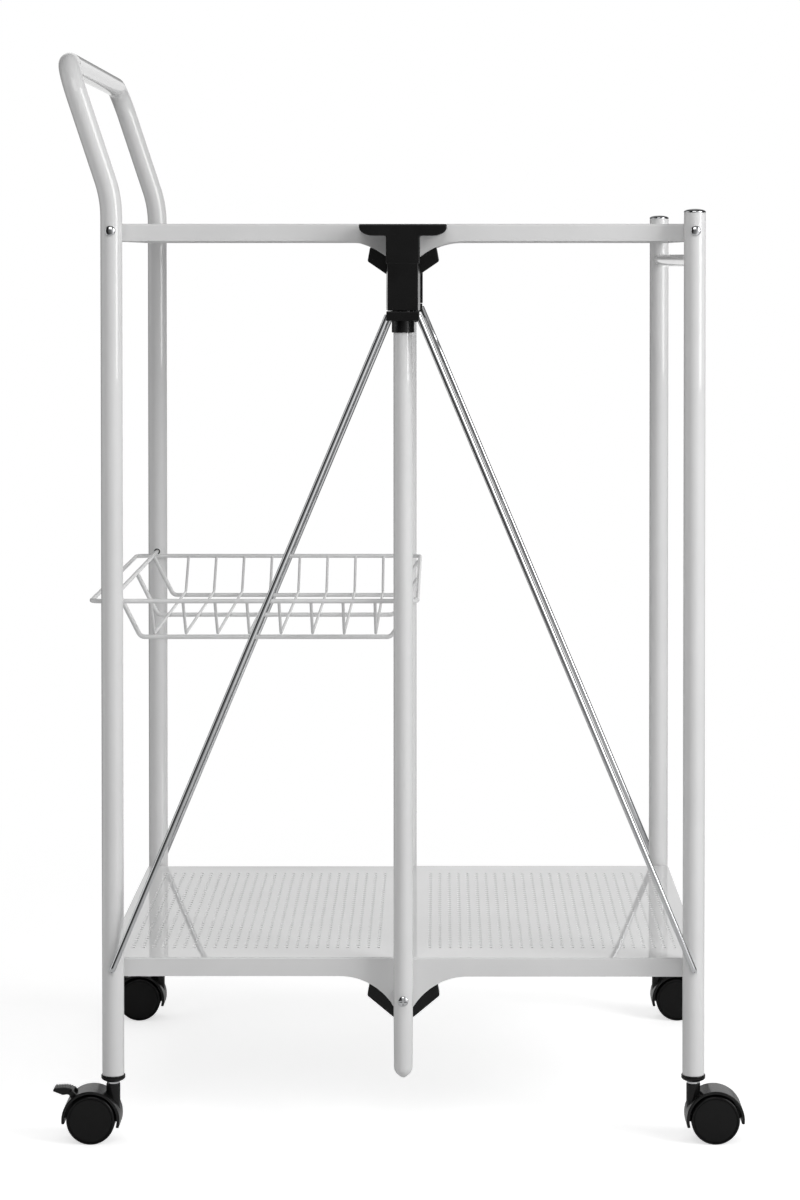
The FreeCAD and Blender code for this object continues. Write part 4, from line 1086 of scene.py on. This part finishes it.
@dataclass
class Basket(Assembly):
    """The welded wire basket between the left legs and the centre posts."""

    wire: float = 1.9
    cross_wire: float = 1.25
    wire_sides: int = 14
    rim_z: float = 445.0
    rim_left: float = -258.5
    rim_right: float = 11.5
    rim_half: float = 192.0
    rim_corner: float = 8.0
    pivot_reach: float = 198.4
    post_pivot_reach: float = 199.4
    floor_z: float = 411.3
    floor_left: float = -220.6
    floor_right: float = -11.0
    floor_half: float = 159.0
    bend_radius: float = 6.0
    cross_count: int = 8
    cross_first: float = -209.0
    cross_pitch: float = 26.5
    weld: float = 0.1

    def build_rim(self) -> Piece:
        """Bend the rim wire, closed on itself.

        Returns:
            The wire.
        """
        left, right, half = self.rim_left, self.rim_right, self.rim_half
        start = Bend(mm((left + right) / 2, -half, self.rim_z))
        corners = [Bend(mm(x, y, self.rim_z), self.rim_corner, 8)
                   for x, y in ((right, -half), (right, half), (left, half), (left, -half))]
        return bent_bar("rim_wire", [start, *corners, start], self.wire, self.wire_sides, closed=True)

    def build_pivots(self) -> list[Piece]:
        """Make the two straight wires on which the basket turns.

        Returns:
            The wires.
        """
        wires = []
        for x, z, reach in ((-LEG_X, BASKET_PIVOT, self.pivot_reach),
                            (0.0, BASKET_POST_PIVOT, self.post_pivot_reach)):
            end = 2 * reach
            profile = [(0, 0), (self.wire - 0.5, 0), (self.wire, 0.5), (self.wire, end - 0.5),
                       (self.wire - 0.5, end), (0, end)]
            wires.append(turned("pivot_wire", profile, mm(x, -reach, z), Y_AXIS, self.wire_sides))
        return wires

    def trough(self, name: str, tops: Sequence[Vector], feet: Sequence[Vector], radius: float,
               sides: int) -> Piece:
        """Bend one wire down from the wire above its first foot, along the floor and up again.

        Args:
            name: the piece's name.
            tops: middles of the two wires above, which its ends butt against.
            feet: where its straights would meet at the floor.
            radius: the wire's radius in millimetres.
            sides: faces round the wire.

        Returns:
            The wire.
        """
        ends = [top + (foot - top).normalized() * (self.wire - self.weld) * MM
                for top, foot in zip(tops, feet)]
        corners = [Bend(at, self.bend_radius, 6) for at in (ends[0], *feet, ends[1])]
        return bent_bar(name, corners, radius, sides)

    def build_long_wires(self) -> list[Piece]:
        """Bend the wires along the floor, with both ends turned up.

        Returns:
            The wires.
        """
        wires = []
        for y in (-self.floor_half, 0.0, self.floor_half):
            tops = mm(-LEG_X, y, BASKET_PIVOT), mm(self.rim_right, y, self.rim_z)
            feet = mm(self.floor_left, y, self.floor_z), mm(self.floor_right, y, self.floor_z)
            wires.append(self.trough("long_wire", tops, feet, self.wire, self.wire_sides))
        return wires

    def build_cross_wires(self) -> list[Piece]:
        """Bend one wire across the floor and copy it along.

        Returns:
            The wires.
        """
        floor = self.floor_z + self.wire + self.cross_wire - self.weld
        tops = [mm(self.cross_first, row.value * self.rim_half, self.rim_z) for row in Row]
        feet = [mm(self.cross_first, row.value * self.floor_half, floor) for row in Row]
        first = self.trough("cross_wire", tops, feet, self.cross_wire, 12)
        steps = [mm(number * self.cross_pitch, 0, 0) for number in range(1, self.cross_count)]
        return [first, *(copy_piece(first, "cross_wire_copy", Matrix.Translation(step)) for step in steps)]

    def build(self) -> None:
        """Build all the wires and dress them."""
        groups = {
            "basket_rim": [self.build_rim()],
            "basket_pivot_wires": self.build_pivots(),
            "basket_long_wires": self.build_long_wires(),
            "basket_cross_wires": self.build_cross_wires(),
        }
        for node, wires in groups.items():
            self.paint.dress_group(f"{node}_coated", wires, Slot.WIRE, "basket", node, angle=45)


@dataclass
class Casters(Assembly):
    """The twin-wheel casters, modelled once with the stem on Z and the wheels at +X, then copied."""

    trail: float = 17.5
    wheel_radius: float = 20.0
    wheel_inner: float = 4.0
    wheel_outer: float = 14.5
    shoulder: float = 1.3
    face_sink: float = 0.5
    hub_radius: float = 2.6
    hub_depth: float = 1.6
    hood_radius: float = 24.0
    hood_thickness: float = 2.5
    far_drop: float = 3.2
    near_drop: float = 6.3
    web_lift: float = 2.6
    web_half: float = 3.5
    neck_radius: float = 5.75
    neck_bottom: float = 24.0
    neck_top: float = 47.8
    race_radius: float = 5.4
    race_height: float = 1.9
    stem_bore: float = 4.05
    pedal_width: float = 12.0
    ear_gap: float = 0.3
    ear_thickness: float = 2.0
    ear_radius: float = 2.4
    pivot_rise: float = 2.1
    pivot_angle: float = 52.0
    trunnion_radius: float = 1.2
    rib_radius: float = 0.8
    ear_root: Point = (3.4, 2.8)

    # The pedal's outline as (X, Z, corner radius) and the middles of its ribs, all from its pivot.
    pedal: tuple[Triple, ...] = (
        (15.6, 1.5, 0.6), (15.3, 3.4, 0.8), (4.6, 4.3, 3.0), (-1.2, 2.3, 1.5),
        (-1.6, -0.7, 0.3), (1.6, -1.6, 0.5), (4.2, -1.1, 1.2), (7.6, -1.6, 1.0))
    ribs: tuple[Point, ...] = (
        (13.6, 3.7), (11.4, 3.9), (9.2, 4.05), (7.0, 4.2), (4.8, 4.15), (2.7, 3.7), (0.9, 3.1))

    @property
    def pivot(self) -> Point:
        """Return the brake pedal's pivot as (X, Z) from the stem."""
        reach = self.hood_radius + self.pivot_rise
        return arc(self.trail, self.wheel_radius, reach, reach, [self.pivot_angle])[0]

    def hood_arc(self, radius: float, far_drop: float, near_drop: float) -> list[Point]:
        """Return an arc about the axle, from the end away from the stem over the top to the near end.

        Args:
            radius: the arc's radius.
            far_drop: how far below the axle it ends away from the stem.
            near_drop: how far below the axle it ends near the stem.

        Returns:
            Points as (X, Z).
        """
        first = -math.degrees(math.asin(far_drop / radius))
        last = 180 + math.degrees(math.asin(near_drop / radius))
        return arc(self.trail, self.wheel_radius, radius, radius, spread(first, last, 40))

    def build_housing(self) -> Piece:
        """Model the housing: hood shell, web between the wheels and neck.

        Returns:
            The housing.
        """
        inner = self.hood_radius - self.hood_thickness
        shell = self.hood_arc(self.hood_radius, self.far_drop, self.near_drop)
        shell += reversed(self.hood_arc(inner, self.far_drop - 0.4, self.near_drop - 0.4))
        hood = plate("hood", shell, -self.wheel_outer, 2 * self.wheel_outer)
        bevel(hood, 0.7, 3)
        wall = self.hood_arc(inner + 0.5, self.far_drop - self.web_lift, self.near_drop - self.web_lift)
        web = plate("web", wall, -self.web_half, 2 * self.web_half)
        bevel(web, 0.5, 2)
        return fuse("housing", [hood, web, self.build_neck(inner)])

    def build_neck(self, room: float) -> Piece:
        """Model the neck round the stem, down into the hood.

        Args:
            room: radius about the axle that is left to the wheels.

        Returns:
            The neck.
        """
        bore, edge, low, top = self.stem_bore, self.neck_radius, self.neck_bottom, self.neck_top
        profile = [(bore, low), (edge, low), (edge, top - 0.6), (edge - 0.2, top - 0.2), (edge - 0.6, top),
                   (bore, top), (bore, low)]
        neck = turned("neck", profile, Vector(), Z_AXIS, 36)
        cut(neck, pin("wheel_room", room, 0, 40, mm(self.trail, -20, self.wheel_radius), Y_AXIS, 96))
        return neck

    def build_race(self) -> Piece:
        """Model the bright race that lies between the neck and the foot plug.

        Returns:
            The race.
        """
        bore, edge, low = self.stem_bore, self.race_radius, self.neck_top
        top = low + self.race_height
        profile = [(bore, low), (edge - 0.3, low), (edge, low + 0.3), (edge, top - 0.3), (edge - 0.3, top),
                   (bore, top), (bore, low)]
        return smooth(turned("race", profile, Vector(), Z_AXIS, 36))

    def build_ears(self) -> list[Piece]:
        """Model the two ears on the hood that hold the brake pedal.

        Returns:
            The ears.
        """
        x, z = self.pivot
        outline = arc(x, z, self.ear_radius, self.ear_radius,
                      spread(self.pivot_angle + 90, self.pivot_angle - 90, 12))
        tilt = Matrix.Rotation(math.radians(self.pivot_angle), 2)
        deep, wide = self.ear_root
        for root in (tilt @ Vector((-deep, -wide)), tilt @ Vector((-deep, wide))):
            outline.append((x + root.x, z + root.y))
        inner = self.pedal_width / 2 + self.ear_gap
        ears = [plate("ear", outline, row.value * inner, row.value * self.ear_thickness) for row in Row]
        for ear in ears:
            bevel(ear, 0.4, 2, angle=60)
        return ears

    def build_wheel(self) -> Piece:
        """Model one wheel, with its outer face to the front and its shoulder rounded.

        Returns:
            The wheel.
        """
        rim, inner, outer = self.wheel_radius, self.wheel_inner, self.wheel_outer
        face = outer - self.face_sink
        hub, floor = self.hub_radius, face - self.hub_depth
        profile = [(0, face), (17.3, face), (17.6, face - 0.45), (18.1, face - 0.45), (18.35, outer - 0.1)]
        profile += arc(rim - self.shoulder, outer - self.shoulder, self.shoulder, self.shoulder,
                       range(90, 9, -20))
        profile += [(rim, outer - 1.6), (rim, inner + 1.0), (rim - 0.3, inner + 0.3), (rim - 1.0, inner),
                    (hub, inner), (hub, floor), (0, floor)]
        return smooth(turned("wheel", profile, Vector(), -Y_AXIS, 72), 30)

    def build_pedal(self) -> Piece:
        """Model the brake pedal, with grip ribs across its top and its trunnions.

        Returns:
            The pedal.
        """
        x, z = self.pivot
        half = self.pedal_width / 2
        outline = [(x + out, z + up) for out, up in rounded(self.pedal, 4)]
        lever = plate("lever", outline, -half, 2 * half)
        bevel(lever, 0.35, 2)
        pieces = [lever]
        for out, up in self.ribs:
            rib = arc(x + out, z + up, self.rib_radius, self.rib_radius, range(0, 360, 36))
            pieces.append(plate("rib", rib, -half + 0.2, 2 * half - 0.4))
        reach = half + self.ear_gap + 0.9 * self.ear_thickness
        pieces.append(pin("trunnion", self.trunnion_radius, 0, 2 * reach, mm(x, -reach, z), Y_AXIS, 24))
        return fuse("pedal", pieces)

    def build(self) -> None:
        """Model one of each piece, copy it to every leg and dress it."""
        housing = self.build_housing()
        braked = copy_piece(housing, "braked_housing", Matrix())
        braked = fuse("braked_housing", [braked, *self.build_ears()])
        washer = self.build_race()
        wheel = self.build_wheel()
        pedal = self.build_pedal()
        flip = Matrix.Rotation(math.pi, 4, "Z")
        for side in Side:
            for row in Row:
                name = f"caster_{side.word}_{row.word}"
                leg = Matrix.Translation(mm(side.value * LEG_X, row.value * LEG_Y, 0))
                turn = flip if side is Side.LEFT else Matrix()
                model = braked if side is Side.LEFT else housing
                hood = copy_piece(model, f"{name}_hood", leg @ turn)
                self.paint.dress(hood, Slot.BLACK, name, f"{name}_housing")
                race = copy_piece(washer, f"{name}_race", leg)
                self.paint.dress(race, Slot.CHROME, name)
                axle = leg @ Matrix.Translation(mm(side.value * self.trail, 0, self.wheel_radius))
                for face in Row:
                    facing = axle @ (flip if face is Row.BACK else Matrix())
                    roll = copy_piece(wheel, f"{name}_roll_{face.word}", facing)
                    node = f"{name}_wheel_{face.word}"
                    self.paint.dress(roll, Slot.WHEEL, node, node)
                self.paint.repaint(f"{name}_stem", Slot.CHROME)
                self.paint.repaint(f"{name}_axle", Slot.CHROME)
                if side is Side.LEFT:
                    lever = copy_piece(pedal, f"brake_lever_{row.word}", leg @ turn)
                    self.paint.dress(lever, Slot.BLACK, f"brake_pedal_{row.word}", f"brake_pedal_{row.word}")
        for model in (housing, braked, washer, wheel, pedal):
            bpy.data.objects.remove(model)


@dataclass
class Studio:
    """White floor and surroundings, soft lamps and the camera of the photograph."""

    camera_at: Triple = (30.2, -2725.4, 729.8)
    camera_pitch: float = 1.3
    focal_pixels: float = 3069.1
    long_side_pixels: float = 1200.0
    shift_x: float = -0.0332
    shift_y: float = -0.228
    sensor: float = 36.0
    ambient: float = 0.585
    floor_size: float = 30.0
    floor_tone: str = "#E4E4E4"
    floor_glow: float = 0.64
    floor_fade: Point = (0.4, 1.3)
    wall_top: float = 0.35
    ceiling_edge: float = 0.6
    ceiling: float = 0.2
    flag_at: Triple = (-0.045, 0.99, 0.095)
    flag_reach: Point = (3.6, 6.2)
    flag_tone: float = 0.25
    lamp_aim: float = 450.0

    # Tones of the surroundings, by degrees from the front round by the left, the back and the right:
    # first as they light the trolley, then as its bright parts mirror them.
    surroundings: tuple[tuple[float, str], ...] = (
        (0, "#747474"), (18, "#3C3C3C"), (34, "#161616"), (46, "#6E6E6E"), (60, "#FFFFFF"), (84, "#E4E4E4"),
        (104, "#D4D4D4"), (122, "#D0D0D0"), (146, "#F4F4F4"), (180, "#FFFFFF"), (216, "#F0F0F0"),
        (240, "#A0A0A0"), (262, "#5A5A5A"), (290, "#8A8A8A"), (308, "#C8C8C8"), (324, "#FFFFFF"),
        (340, "#6A6A6A"), (360, "#747474"))
    mirrored: tuple[tuple[float, str], ...] = (
        (0, "#747474"), (17, "#5E5E5E"), (34, "#1A1A1A"), (56, "#161616"), (72, "#B8B8B8"), (88, "#FFFFFF"),
        (106, "#D0D0D0"), (126, "#343434"), (148, "#3C3C3C"), (166, "#E8E8E8"), (180, "#FFFFFF"),
        (194, "#E8E8E8"), (214, "#5C5C5C"), (240, "#484848"), (264, "#3E3E3E"), (286, "#A0A0A0"),
        (306, "#F4F4F4"), (324, "#FFFFFF"), (342, "#A8A8A8"), (360, "#747474"))

    def place_camera(self) -> None:
        """Set the camera, with the shift that frames the trolley as the photograph does."""
        data = bpy.data.cameras.new("photo_camera")
        data.sensor_fit = "AUTO"
        data.sensor_width = self.sensor
        data.lens = self.focal_pixels * self.sensor / self.long_side_pixels
        data.shift_x = self.shift_x
        data.shift_y = self.shift_y
        data.clip_end = 100
        camera = bpy.data.objects.new("photo_camera", data)
        camera.location = mm(*self.camera_at)
        camera.rotation_euler = (math.radians(90 - self.camera_pitch), 0, 0)
        bpy.context.scene.collection.objects.link(camera)
        bpy.context.scene.camera = camera

    def surround(self, tree: Tree, place: Socket, band: Sequence[tuple[float, str]]) -> Socket:
        """Add the tones of the surroundings to a shader.

        Args:
            tree: the shader's node tree.
            place: the direction or the floor place that is looked up.
            band: the tones by degrees round the trolley.

        Returns:
            The tone's colour socket.
        """
        axes = add_node(tree, "SeparateXYZ", None, place)
        heading = add_node(tree, "Math", {"operation": "ARCTAN2"}, axes.outputs["X"], axes.outputs["Y"])
        turn = add_node(tree, "MapRange", {"From Min": -math.pi, "From Max": math.pi}, heading)
        tones = add_node(tree, "ValToRGB", None, turn)
        stops = tones.color_ramp.elements
        while len(stops) < len(band):
            stops.new(0.5)
        for stop, (degrees, tone) in zip(stops, band):
            stop.position = degrees / 360
            stop.color = linear(tone)
        return tones.outputs["Color"]

    def light_world(self) -> None:
        """Surround the trolley with light that the camera sees as white."""
        world = bpy.data.worlds.new("white_surroundings")
        bpy.context.scene.world = world
        world.use_nodes = True
        tree = world.node_tree
        tree.nodes.clear()
        path = add_node(tree, "LightPath").outputs
        sharp = add_node(tree, "Math", {"operation": "MAXIMUM"},
                         path["Is Camera Ray"], path["Is Transmission Ray"])
        heading = add_node(tree, "TexCoord").outputs["Generated"]
        axes = add_node(tree, "SeparateXYZ", None, heading)
        # A dark ceiling over the bright walls, which only mirrors show.
        ceiling = add_node(tree, "MapRange",
                           {"interpolation_type": "SMOOTHSTEP", "From Min": self.wall_top,
                            "From Max": self.ceiling_edge, "To Min": 1.0, "To Max": self.ceiling},
                           axes.outputs["Z"])
        # A small dark flag low behind the trolley, which draws the handle's far bar against the white.
        toward = add_node(tree, "VectorMath", {"operation": "DOT_PRODUCT"}, heading)
        toward.inputs[1].default_value = Vector(self.flag_at).normalized()
        core, rim = (math.cos(math.radians(angle)) for angle in self.flag_reach)
        flag = add_node(tree, "MapRange",
                        {"interpolation_type": "SMOOTHSTEP", "From Min": rim, "From Max": core,
                         "To Min": 1.0, "To Max": self.flag_tone}, toward.outputs["Value"])
        wall = add_node(tree, "Math", {"operation": "MULTIPLY"}, ceiling, flag)
        lit = add_node(tree, "Background", {"Strength": self.ambient},
                       self.surround(tree, heading, self.surroundings))
        mirrored = add_node(tree, "Background", None, self.surround(tree, heading, self.mirrored), wall)
        white = add_node(tree, "Background", {"Color": linear("#FFFFFF"), "Strength": 1.0})
        gloss = add_node(tree, "MixShader", None, path["Is Glossy Ray"], lit, mirrored)
        mix = add_node(tree, "MixShader", None, sharp, gloss, white)
        add_node(tree, "OutputWorld", None, mix)

    def add_lamp(self, name: str, at: Triple, size: Point, watts: float) -> None:
        """Add one soft lamp that looks at the middle of the trolley.

        Args:
            name: the lamp's name.
            at: its place in millimetres.
            size: its width and height in metres.
            watts: its power.
        """
        data = bpy.data.lights.new(name, "AREA")
        data.shape = "RECTANGLE"
        data.size, data.size_y = size
        data.energy = watts
        lamp = bpy.data.objects.new(name, data)
        lamp.location = mm(*at)
        lamp.rotation_euler = (mm(0, 0, self.lamp_aim) - lamp.location).to_track_quat("-Z", "Y").to_euler()
        bpy.context.scene.collection.objects.link(lamp)

    def lay_floor(self) -> None:
        """Lay a floor that keeps the trolley's soft shadow and fades to white further out."""
        release()
        bpy.ops.mesh.primitive_plane_add(size=self.floor_size)
        floor = bpy.context.object
        floor.name = "studio_floor"
        material = bpy.data.materials.new("Matt white studio floor")
        material.use_nodes = True
        tree = material.node_tree
        tree.nodes.clear()
        matt = add_node(tree, "BsdfDiffuse", {"Color": linear(self.floor_tone)})
        path = add_node(tree, "LightPath").outputs
        lift = add_node(tree, "Math", {"operation": "MULTIPLY"}, path["Is Camera Ray"])
        lift.inputs[1].default_value = self.floor_glow
        glow = add_node(tree, "Emission", {"Color": linear("#FFFFFF")}, Strength=lift)
        near = add_node(tree, "AddShader", None, matt, glow)
        place = add_node(tree, "TexCoord").outputs["Object"]
        mirrored = add_node(tree, "Emission", {"Strength": 1.0}, self.surround(tree, place, self.mirrored))
        white = add_node(tree, "Emission", {"Color": linear("#FFFFFF"), "Strength": 1.0})
        far = add_node(tree, "MixShader", None, path["Is Camera Ray"], mirrored, white)
        seen = add_node(tree, "Math", {"operation": "MAXIMUM"}, path["Is Camera Ray"], path["Is Glossy Ray"])
        distance = add_node(tree, "VectorMath", {"operation": "LENGTH"}, place)
        start, end = self.floor_fade
        fade = add_node(tree, "MapRange",
                        {"interpolation_type": "SMOOTHSTEP", "From Min": start, "From Max": end},
                        distance.outputs["Value"])
        share = add_node(tree, "Math", {"operation": "MULTIPLY"}, fade, seen)
        blend = add_node(tree, "MixShader", None, share, near, far)
        add_node(tree, "OutputMaterial", None, blend)
        floor.data.materials.append(material)

    def build(self) -> None:
        """Set up the camera, the lamps and the floor."""
        bpy.context.scene.view_settings.view_transform = "Standard"
        self.place_camera()
        self.light_world()
        self.add_lamp("key_softbox", (2050, -1300, 1400), (1.1, 1.9), 31)
        self.add_lamp("front_softbox", (-200, -2300, 2300), (1.6, 1.6), 16)
        self.lay_floor()


def main() -> None:
    """Build every sub-assembly in order and set up the studio."""
    logging.basicConfig(level=logging.INFO, format="%(name)s: %(message)s")
    paint = Paint.mix()
    EndFrames(paint).build()
    for level in (TOP, BOTTOM):
        for side in Side:
            ShelfPanel(paint, level, side).build()
    CentrePosts(paint).build()
    Rods(paint).build()
    Basket(paint).build()
    Casters(paint).build()
    Studio().build()


if __name__ == "__main__":
    main()
